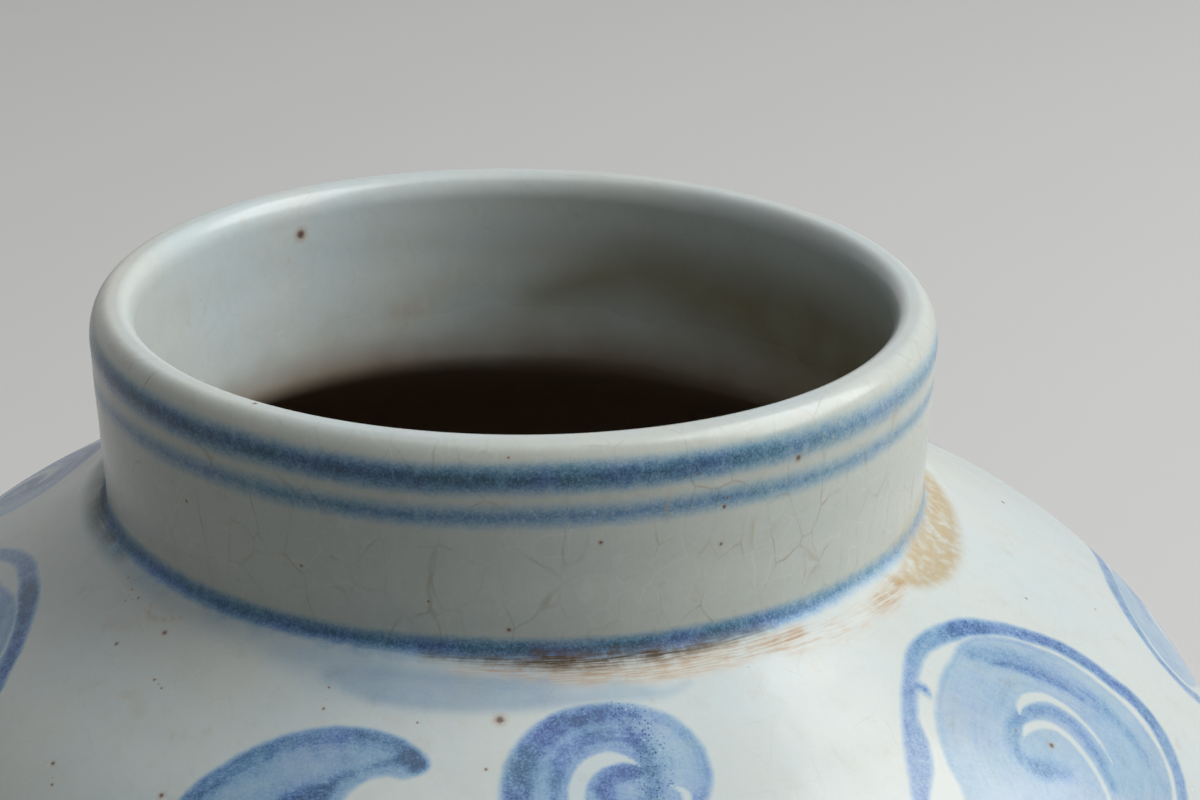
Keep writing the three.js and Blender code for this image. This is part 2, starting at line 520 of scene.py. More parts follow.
@dataclass(frozen=True)
class Strip:
    """A stretch of a section's closed outline, with its own normals and finish.

    Attributes:
        radius: Distance of each point from the axis.
        height: Its height.
        across: The outward part of its normal.
        up: The upward part of its normal.
        run: Its distance along the skin.
        finish: What the stretch wears.
    """

    radius: Array
    height: Array
    across: Array
    up: Array
    run: Array
    finish: Finish

    @classmethod
    def of(cls, face: Face, start: float, end: float, spacing: float, finish: Finish) -> "Strip":
        """The stretch of a face between two runs, in steps no longer than the spacing.

        Args:
            face: The face to cut from.
            start: The run where it starts.
            end: The run where it ends.
            spacing: The longest step.
            finish: What it wears.

        Returns:
            The strip.
        """
        steps = max(1, int(np.ceil(abs(end - start) / spacing)))
        cut = face.at(np.linspace(start, end, steps + 1))
        return cls(cut.radius, cut.height, cut.across, cut.up, cut.run, finish)

    @classmethod
    def straight(cls, a: Point, b: Point, run: Point, finish: Finish = Finish.BISCUIT) -> "Strip":
        """A flat joint face from a to b, with the section's clay on its right.

        Args:
            a: Its start, as radius and height.
            b: Its end.
            run: The runs at both.
            finish: What it wears.

        Returns:
            The strip, of two points.
        """
        step = np.array(b, float) - np.array(a, float)
        normal = np.array([-step[1], step[0]]) / np.linalg.norm(step)
        radius, height = np.stack([a, b], 1)
        both = np.ones(2)
        return cls(radius, height, both * normal[0], both * normal[1], np.array(run, float), finish)

    @classmethod
    def chain(
        cls, points: Sequence[Point], run: Point, finish: Finish = Finish.BISCUIT,
    ) -> "list[Strip]":
        """Flat faces from each point to the next."""
        return [cls.straight(a, b, run, finish) for a, b in zip(points[:-1], points[1:])]

    @classmethod
    def curve(cls, points: Array, run: float, finish: Finish) -> "Strip":
        """A rounded stretch through points, with the section's clay on its right.

        Args:
            points: Rows of radius and height.
            run: The run of all of them.
            finish: What it wears.

        Returns:
            The strip.
        """
        tangent = np.gradient(points, axis=0)
        normal = np.stack([-tangent[:, 1], tangent[:, 0]], -1)
        normal /= np.linalg.norm(normal, axis=1, keepdims=True)
        return cls(*points.T, *normal.T, np.full(len(points), run), finish)

    @property
    def start(self) -> Point:
        """Its first point, as radius and height."""
        return float(self.radius[0]), float(self.height[0])

    @property
    def end(self) -> Point:
        """Its last point."""
        return float(self.radius[-1]), float(self.height[-1])


@dataclass(frozen=True)
class Stroke:
    """A brush stroke, or with closed set the edge of a painted shape.

    Attributes:
        path: Listed points: degrees round, millimetres down from the neck's corner, width in millimetres.
        tone: The cobalt's strength, 1 for a full outline.
        closed: Whether the path returns to its start.
        soft: How softly its edge fades, in millimetres, where the layer uses it.
        STEPS: How many points the smooth path has for each of its own.
    """

    path: tuple[tuple[float, ...], ...]
    tone: float = 1.0
    closed: bool = False
    soft: float = 1.0

    STEPS = 6

    def smooth(self) -> Array:
        """The path as a smooth curve: rows of degrees, down and width.

        The curve runs through all points, and through each one along the line between its neighbours.

        Returns:
            STEPS rows for each of its own points, and a last one.
        """
        points = np.array([p + (0.0,) * (3 - len(p)) for p in self.path], float)
        if self.closed:
            ringed = np.concatenate([points[-1:], points, points[:2]])
        else:
            ringed = np.concatenate([2 * points[:1] - points[1:2], points, 2 * points[-1:] - points[-2:-1]])
        a, b, c, d = (ringed[i:len(ringed) - 3 + i, None] for i in range(4))
        t = np.linspace(0, 1, self.STEPS, endpoint=False)[None, :, None]
        curve = 0.5 * (
            2 * b + (c - a) * t + (2 * a - 5 * b + 4 * c - d) * t**2 + (3 * b - a - 3 * c + d) * t**3
        ).reshape(-1, 3)
        return np.concatenate([curve, points[:1] if self.closed else points[-1:]])


@dataclass(frozen=True)
class Placing:
    """Where a motif is painted.

    Attributes:
        turn: How far it is turned round the jar, in degrees.
        drop: How far it is moved down, in millimetres.
        spread: How many times wider it is than drawn. It grows half as much in height.
        strength: What its tones are multiplied by.
    """

    turn: float = 0.0
    drop: float = 0.0
    spread: float = 1.0
    strength: float = 1.0

    def place(self, path: Array, middle: Point) -> Array:
        """The path moved to this place.

        Args:
            path: Rows of degrees, down and width.
            middle: The motif's middle.

        Returns:
            The moved rows.
        """
        moved = path.copy()
        moved[:, 0] = middle[0] + (path[:, 0] - middle[0]) * self.spread + self.turn
        moved[:, 1] = middle[1] + (path[:, 1] - middle[1]) * (0.5 + 0.5 * self.spread) + self.drop
        return moved


# The distance, in millimetres, that stands for nothing near, and how far washes and shades are measured.
FAR = 9.0
WASH_REACH = 40
SHADE_REACH = 20

# A speck's radius where there is none, and the jar's radius by which the gaps between specks are judged.
NO_SPECK = 0.001
GAP_RADIUS = 85

LAYERS = (
    "line", "line_tone", "wash", "wash_tone", "deep", "haze", "pile", "rust", "ochre", "soot", "inner_stain_and_shade",
)


class Canvas:
    """The outer face of one section as the painter sees it: every point's place and its layers of paint.

    Attributes:
        degrees: Each point's angle round the jar.
        down: Its distance in millimetres down from the neck's corner.
        radius: Its distance in millimetres from the axis.
        layers: The paint by layer, one number for each point. A distance is negative inside the paint.
        reserve: For each point, its side distance from the nearest line left white, that line's half
            width, and the plain distance.
        speck: For each point, how far it lies beside and below the nearest speck, and the speck's radius.
    """

    def __init__(self, degrees: Array, down: Array, radius: Array) -> None:
        """Takes a face's points, with nothing painted on it yet.

        Args:
            degrees: Each point's angle round the jar.
            down: Its distance in millimetres down from the neck's corner.
            radius: Its distance in millimetres from the axis.
        """
        self.degrees, self.down, self.radius = degrees, down, radius
        self.layers = {name: np.zeros(len(down)) for name in LAYERS}
        self.layers["line"] += FAR
        self.layers["wash"] += FAR
        self.reserve = np.tile([FAR, 0.0, FAR], (len(down), 1))
        self.speck = np.tile([FAR, FAR, NO_SPECK], (len(down), 1))

    def measure(self, path: Array, reach: float) -> tuple[Array, Array, Array, Array]:
        """Measures from each point near a path to the path.

        Each leg of the path is a straight line on the flattened surface round the point, where a degree
        is as long as the point's own radius makes it.

        Args:
            path: Rows of degrees, down and width.
            reach: How far from the path points are measured, in millimetres.

        Returns:
            The indices of the points measured, their distance, the side (-1 or 1) and the path's width.
        """
        degrees = self.seen_from(path)
        margin = np.degrees(reach / np.maximum(self.radius, 1))
        near = np.flatnonzero(
            (degrees > path[:, 0].min() - margin) & (degrees < path[:, 0].max() + margin)
            & (self.down > path[:, 1].min() - reach) & (self.down < path[:, 1].max() + reach)
        )
        if not len(near):
            return near, *(np.zeros(0),) * 3
        scale = np.radians(self.radius[near])[:, None]
        x = (path[None, :, 0] - degrees[near, None]) * scale
        y = path[None, :, 1] - self.down[near, None]
        dx, dy = np.diff(x), np.diff(y)
        x, y = x[:, :-1], y[:, :-1]
        share = np.clip(-(x * dx + y * dy) / np.maximum(dx**2 + dy**2, TINY), 0, 1)
        off_x, off_y = x + share * dx, y + share * dy
        distance = np.hypot(off_x, off_y)
        nearest = distance.argmin(1)
        row = np.arange(len(near))
        side = np.sign(dx[row, nearest] * off_y[row, nearest] - dy[row, nearest] * off_x[row, nearest])
        width = path[nearest, 2] + share[row, nearest] * (path[nearest + 1, 2] - path[nearest, 2])
        return near, distance[row, nearest], np.where(side == 0, 1, side), width

    def seen_from(self, path: Array) -> Array:
        """Each point's angle, counted so that it lies within half a turn of the path's middle."""
        middle = (path[:, 0].min() + path[:, 0].max()) / 2
        return (self.degrees - middle + 180) % 360 - 180 + middle

    def inside(self, path: Array, points: Array) -> Array:
        """Whether each point lies inside a closed path, by how often a line from it crosses the path.

        Args:
            path: Rows of degrees, down and width, of which the last is like the first.
            points: The indices of the points to test.

        Returns:
            True for each of them that lies inside.
        """
        x = self.seen_from(path)[points][:, None]
        y = self.down[points][:, None]
        x0, y0 = path[None, :-1, 0], path[None, :-1, 1]
        x1, y1 = path[None, 1:, 0], path[None, 1:, 1]
        spans = (y0 > y) != (y1 > y)
        rise = np.where(np.abs(y1 - y0) < TINY, TINY, y1 - y0)
        return (spans & (x < x0 + (y - y0) * (x1 - x0) / rise)).sum(1) % 2 == 1

    def line(self, path: Array, tone: float) -> None:
        """Paints a line: the distance past its edge, and the tone of the nearest line.

        Args:
            path: Rows of degrees, down and width.
            tone: The cobalt's strength.
        """
        near, distance, _, width = self.measure(path, FAR)
        edge = distance - width / 2
        closer = edge < self.layers["line"][near]
        self.layers["line"][near[closer]] = edge[closer]
        self.layers["line_tone"][near[closer]] = tone

    def wash(self, path: Array, tone: float) -> None:
        """Fills a closed shape with wash: the signed distance from its edge, negative inside.

        Args:
            path: Rows of degrees, down and width.
            tone: The cobalt's strength.
        """
        near, distance, _, _ = self.measure(path, WASH_REACH)
        within = self.inside(path, near)
        edge = np.where(within, -distance, distance)
        closer = edge < self.layers["wash"][near]
        self.layers["wash"][near[closer]] = edge[closer]
        self.layers["wash_tone"][near[closer]] = tone

    def shade(self, layer: str, path: Array, amount: float, soft: float) -> None:
        """Adds to a layer along a stroke, fading over its edge.

        Args:
            layer: The layer's name.
            path: Rows of degrees, down and width.
            amount: What is added in the stroke's middle.
            soft: The width of its edge in millimetres.
        """
        near, distance, _, width = self.measure(path, SHADE_REACH)
        fade = np.clip(0.5 - (distance - width / 2) / soft, 0, 1)
        self.layers[layer][near] += amount * fade * fade * (3 - 2 * fade)

    def leave_white(self, path: Array) -> None:
        """Leaves a line unpainted. The side distance stays true between the mesh's points.

        Args:
            path: Rows of degrees, down and width.
        """
        near, distance, side, width = self.measure(path, FAR)
        closer = distance < self.reserve[near, 2]
        chosen = near[closer]
        self.reserve[chosen] = np.stack([(distance * side)[closer], width[closer] / 2, distance[closer]], -1)

    def speckle(self, specks: Sequence[tuple[float, float, float]], reach: float = 4.0) -> None:
        """Places specks: each point near one takes its own offset from the speck's middle.

        Where a point takes its offset from another speck than its neighbour does, the mesh would blend
        the two offsets through nought and show a false speck. So the radius is next to nothing there:
        further from a speck than a share of the gap to the next one.

        Args:
            specks: Each speck's degrees round, millimetres down and width.
            reach: How far from a speck points take its offset, in millimetres.
        """
        reach_share, gap_share = 0.65, 0.4
        spots = np.array(specks, float)
        flat = np.stack([np.radians(spots[:, 0]) * GAP_RADIUS, spots[:, 1]], -1)
        gaps = np.hypot(*(flat[:, None] - flat[None]).transpose(2, 0, 1)) + np.eye(len(spots)) * FAR
        for (degrees, down, width), gap in zip(specks, gaps.min(1)):
            turned = (self.degrees - degrees + 180) % 360 - 180
            beside, below = np.radians(turned) * self.radius, self.down - down
            distance = np.hypot(beside, below)
            near = distance < np.minimum(np.hypot(*self.speck[:, :2].T), reach)
            radius = np.where(distance < min(reach_share * reach, gap_share * gap), width / 2, NO_SPECK)
            self.speck[near] = np.stack([beside, below, radius], -1)[near]


@dataclass(frozen=True)
class Motif:
    """A painted motif: its washes, outlines, darker passages and lines left white.

    Attributes:
        middle: Its middle, as degrees round and millimetres down, from which it is spread.
        washes: Closed shapes filled with wash.
        lines: Outlines.
        shades: Darker passages of the wash, with soft edges.
        whites: Lines left white in the wash.
        piles: Where the cobalt lies heaped in grains.
    """

    middle: Point
    washes: tuple[Stroke, ...] = ()
    lines: tuple[Stroke, ...] = ()
    shades: tuple[Stroke, ...] = ()
    whites: tuple[Stroke, ...] = ()
    piles: tuple[Stroke, ...] = ()

    def paint(self, canvas: Canvas, placing: Placing) -> None:
        """Paints the motif on a canvas at its place.

        Args:
            canvas: The canvas.
            placing: The place.
        """
        def put(stroke: Stroke) -> Array:
            """The stroke's path at the motif's place."""
            return placing.place(stroke.smooth(), self.middle)

        for stroke in self.washes:
            canvas.wash(put(stroke), stroke.tone * placing.strength)
        for stroke in self.lines:
            canvas.line(put(stroke), stroke.tone * placing.strength)
        for stroke in self.shades:
            canvas.shade("deep", put(stroke), stroke.tone * placing.strength, stroke.soft)
        for stroke in self.piles:
            canvas.shade("pile", put(stroke), stroke.tone, stroke.soft)
        for stroke in self.whites:
            canvas.leave_white(put(stroke))


GREAT_SCROLL = Motif(
    middle=(53.5, 43),
    lines=(
        Stroke((
            (37.2, 38.5, 3), (39.9, 31.8, 4.9), (42.6, 24.3, 2.9), (47.1, 17.9, 2.8), (50.7, 15.1, 3),
            (53.8, 14.9, 3.4), (56.6, 15.5, 3.8), (60, 17.1, 3.8), (64, 21.2, 3.3), (66.2, 25.4, 3.2),
            (68.2, 30.3, 3.5), (69.4, 36.8, 3.7), (69.9, 43, 3.8), (70.5, 49, 4), (70.1, 55, 4.3),
            (68.9, 60, 4.3), (66.8, 65.2, 3.9), (62.5, 70.4, 3.6), (56.5, 73.4, 3.8), (50, 72.6, 3.6),
            (43.6, 68.6, 3.4), (38.8, 62, 3.6), (35.9, 54, 3.8), (35.3, 46, 3.4),
        ), tone=0.6, closed=True),
        Stroke(((45.4, 20.2, 1.6), (46.6, 21, 1.5), (46.7, 22.2, 1.2), (46.4, 23.2, 0.5)), tone=0.8),
    ),
    washes=(
        Stroke((
            (41.5, 41.1), (42.1, 35.7), (42.9, 32.2), (44.2, 28.8), (46.6, 24.7), (49.5, 21.8),
            (53.1, 19.8), (57, 18.6), (60.8, 20.2), (63.9, 24.5), (65.6, 28.8), (66.9, 33.3), (67.6, 38.2),
            (68.1, 43.6), (68.4, 48.9), (68.1, 53.8), (67.3, 58.2), (65.4, 62.8), (61.6, 67.2),
            (56.4, 69.6), (50.5, 68.6), (46, 65), (42.4, 59), (40.6, 52.5), (40.6, 46.5),
        ), tone=0.32, closed=True),
    ),
    shades=(
        Stroke((
            (56.6, 21, 2), (59.6, 25, 4.4), (62, 30.4, 5), (63.8, 36.9, 4.6), (64.9, 43.2, 3.6),
            (65.3, 50.3, 2.4), (64.9, 55.4, 1),
        ), tone=0.26, soft=3.4),
        Stroke((
            (57.6, 24, 0.6), (60.2, 28.4, 1.3), (62.4, 34.4, 1.5), (63.6, 40, 0.6),
        ), tone=0.42, soft=1.6),
        Stroke((
            (51.2, 44.7, 3.4), (50.3, 41.4, 2.8), (50.4, 38.2, 2.8), (51.9, 35.6, 2.6), (54.6, 34.7, 2.6),
            (57.2, 36, 2.6), (58.8, 38.8, 2.6), (59.2, 43, 2.4), (58.8, 48.5, 2.2), (57.9, 54, 1.4),
        ), tone=0.32, soft=1.8),
        Stroke(((51.4, 43, 2.4), (52.6, 45.4, 3.4), (53.8, 47.2, 1.6)), tone=0.36, soft=3.6),
        Stroke(((56.4, 15.2, 2), (58.8, 16.2, 4.4), (61.6, 19.2, 2.2)), tone=0.42, soft=2.4),
        Stroke(((62, 19, 3), (67, 27, 4), (69.6, 40, 4), (70.4, 52, 4)), tone=0.3, soft=3),
        Stroke(((46.6, 30, 3), (45.2, 38, 4), (45.4, 48, 3)), tone=-0.06, soft=5),
    ),
    whites=(
        Stroke((
            (54.4, 34, 0.6), (55.6, 32.9, 1.8), (57.4, 33.2, 2.2), (59, 34.6, 1.9), (60, 37, 1.5),
            (60.6, 40.3, 1.3), (60.7, 44.2, 1.1), (60.4, 48.2, 0.7), (59.8, 51.8, 0.1),
        )),
        Stroke((
            (52.6, 37.6, 0.6), (53.6, 36.9, 1.6), (55.2, 37.5, 1.8), (56.7, 39.3, 1.6), (57.4, 42.6, 1.5),
            (57.4, 47, 1.4), (57, 51.5, 1.4), (56.3, 55.3, 1.2), (54.8, 59.5, 0.7), (53.2, 62, 0.1),
        )),
    ),
)

CLOUD_HEAD = Motif(
    middle=(8.6, 27),
    washes=(
        Stroke((
            (20, 54.5), (12, 52.4), (5, 47.6), (0.6, 41), (-1.3, 34), (-1.7, 28), (-1.4, 22.5),
            (-0.4, 17.6), (1.6, 13.6), (4.4, 10.8), (7.6, 9.7), (11, 9.8), (14.2, 11.2), (16.8, 13.9),
            (18.4, 17.8), (18.9, 22.2), (18.4, 26.6), (16.9, 30.6), (14.4, 34.4), (11, 37.2), (8.4, 39.6),
            (8.8, 43.6), (12.4, 48.6),
        ), tone=0.52, closed=True),
    ),
    shades=(
        Stroke((
            (3.4, 45.6, 1), (0.6, 36, 3), (0, 28, 3.8), (0.5, 22, 4), (1.9, 17, 4), (4, 13.8, 3.8),
            (6.8, 12.1, 3.6), (9.8, 11.7, 3.2), (12.8, 12.3, 1.6),
        ), tone=0.74, soft=2.2),
        Stroke((
            (3.4, 30, 0.6), (3.3, 25, 1.6), (4.1, 20.4, 2), (6, 17.2, 2.2), (8.6, 15.8, 2.4),
            (11.2, 16.6, 1.8), (12.6, 18.6, 1),
        ), tone=0.5, soft=1.7),
        Stroke((
            (12.2, 22.9, 1.6), (10.4, 22.9, 2.4), (8.8, 23.8, 2.8), (8, 26, 2.8), (8.5, 28.6, 2.2),
            (10.2, 30.4, 1.4),
        ), tone=0.84, soft=1.8),
        Stroke((
            (11.6, 14.6, 1.4), (12.6, 18, 2.4), (13, 22, 2.8), (12.6, 26.6, 2.6), (11.6, 29.8, 1.4),
        ), tone=0.42, soft=2.8),
        Stroke((
            (14.4, 12.6, 0.8), (17, 16.6, 1.2), (18, 21, 1.3), (17.6, 26, 1.3), (15.6, 30.8, 1),
        ), tone=0.1, soft=1.8),
        Stroke(((15.2, 16, 3.4), (16.4, 21, 4), (15.8, 27, 3)), tone=-0.14, soft=3),
    ),
    whites=(
        Stroke((
            (12, 21.9, 0.2), (10.8, 20.5, 1.3), (9.2, 20, 2.6), (7.5, 20.8, 2.9), (6.1, 23, 2.8),
            (5.4, 26.4, 2.8), (5.8, 30, 2.6), (7.4, 33, 2.2), (9.8, 34.6, 1.6), (12.4, 34.2, 0.4),
        )),
        Stroke(((14.4, 26, 0.2), (15.6, 27.8, 1.3), (15, 30.6, 1.5), (13, 32.4, 0.8), (11.6, 32.6, 0.1))),
    ),
    piles=(
        Stroke((
            (11.6, 10.2, 3), (12.9, 13.4, 4.2), (13.2, 19, 4.4), (13.4, 24, 5), (12.9, 29, 4),
        ), tone=0.8, soft=6),
        Stroke(((3, 13.6, 3), (8, 11.6, 3)), tone=0.25, soft=4),
    ),
)

CLOUD_WING = Motif(
    middle=(-20, 30),
    washes=(
        Stroke((
            (-31.4, 38), (-30.4, 32.1), (-28.6, 27), (-26.5, 22.7), (-23.8, 19.3), (-20.9, 17.1),
            (-18.3, 16), (-15.4, 15.8), (-13, 16.4), (-10.6, 18), (-8.8, 20.2), (-9, 22.2), (-10.6, 23.8),
            (-12.4, 23.7), (-14.2, 24.8), (-15.5, 26.9), (-16.3, 30), (-17, 35), (-18.6, 41), (-20.6, 47),
            (-24.4, 51.6), (-29.4, 54), (-34.6, 53.4), (-37.4, 50), (-36, 46.6), (-32.6, 43.6),
        ), tone=0.55, closed=True),
    ),
    shades=(
        Stroke((
            (-31, 44.6, 1.4), (-30.2, 39.6, 2.6), (-29.6, 34, 3), (-28, 28.6, 3.2), (-25.6, 23.7, 3.2),
            (-22.6, 20, 3.2), (-19.2, 17.9, 3), (-15.6, 17.2, 2.8), (-12.4, 18, 2.6), (-10.2, 20, 2.4),
        ), tone=0.36, soft=2.2),
        Stroke((
            (-9.9, 21.4, 3), (-11.4, 20.9, 2.2), (-13.4, 21.9, 1), (-15.2, 23.6, 0.8), (-17.4, 25.6, 1.2),
        ), tone=0.55, soft=1.3),
        Stroke(((-17.6, 27, 2), (-18.6, 29.2, 4.6), (-20.4, 31.6, 5), (-22, 34.2, 3)), tone=0.8, soft=2),
        Stroke(((-11, 20.2, 2.6), (-9.9, 21.6, 2.4)), tone=0.4, soft=2.4),
        Stroke(((-35, 50.6, 2.4), (-30, 51.6, 2.6), (-24.6, 49, 2), (-21.4, 44, 0.8)), tone=0.4, soft=1.8),
        Stroke(((-26.6, 33, 3), (-23, 27, 3.4), (-18.6, 22.4, 3)), tone=-0.1, soft=4),
    ),
)

CLOUD_BANK = Motif(
    middle=(98, 62),
    lines=(
        Stroke((
            (85.4, 66.3, 2.5), (82.8, 58.7, 2.3), (83.1, 51.1, 2.5), (86.3, 45.6, 3), (91.3, 43.8, 3.4),
            (97.3, 45.3, 3.4), (103.6, 48.8, 3.5), (109, 54, 3.8), (112.4, 60.6, 3.9), (113.2, 68, 3.6),
            (110.6, 75, 3.4), (104.8, 79.6, 3.2), (97.6, 80.2, 3), (90.6, 75.4, 2.7),
        ), tone=0.7, closed=True),
    ),
    washes=(
        Stroke((
            (86.4, 64.8), (84, 58.2), (84.4, 52), (87.4, 47.2), (92.4, 45.8), (99.4, 49), (106.2, 57.8),
            (109, 63.6), (109.2, 69.6), (105.8, 74.2), (100, 75.8), (93.4, 72),
        ), tone=0.34, closed=True),
    ),
    shades=(
        # This darker passage towards the jar's edge, where the wash turns away from the camera, is painted
        # shade.
        Stroke(((92, 53.6, 2), (97.6, 54.6, 4), (103, 60, 4.6), (105, 67, 3)), tone=0.26, soft=3.4),
    ),
    whites=(
        Stroke((
            (91.6, 62.4, 0.6), (93.4, 58.8, 1.7), (96.6, 58.2, 2), (99.6, 61.4, 1.6), (100.8, 66.4, 1.2),
            (100, 71.4, 0.1),
        )),
    ),
)

WISP = Motif(
    middle=(15, 104),
    washes=(
        Stroke((
            (-8, 96), (-2, 91), (5, 89.5), (12, 92.5), (18, 98), (26, 101.5), (36, 101), (44, 97.5),
            (37, 105), (27, 109.5), (16, 108.5), (8, 103), (2, 99.5), (-3, 101), (-6, 105), (-9, 102),
        ), tone=0.4, closed=True),
    ),
    shades=(
        Stroke((
            (-6.6, 98.4, 2), (-1, 93.6, 3), (5.4, 92, 3.2), (11.8, 95.6, 3), (18, 101, 2.8),
            (26.4, 104, 2.6), (36, 103, 1),
        ), tone=0.4, soft=1.6),
    ),
)


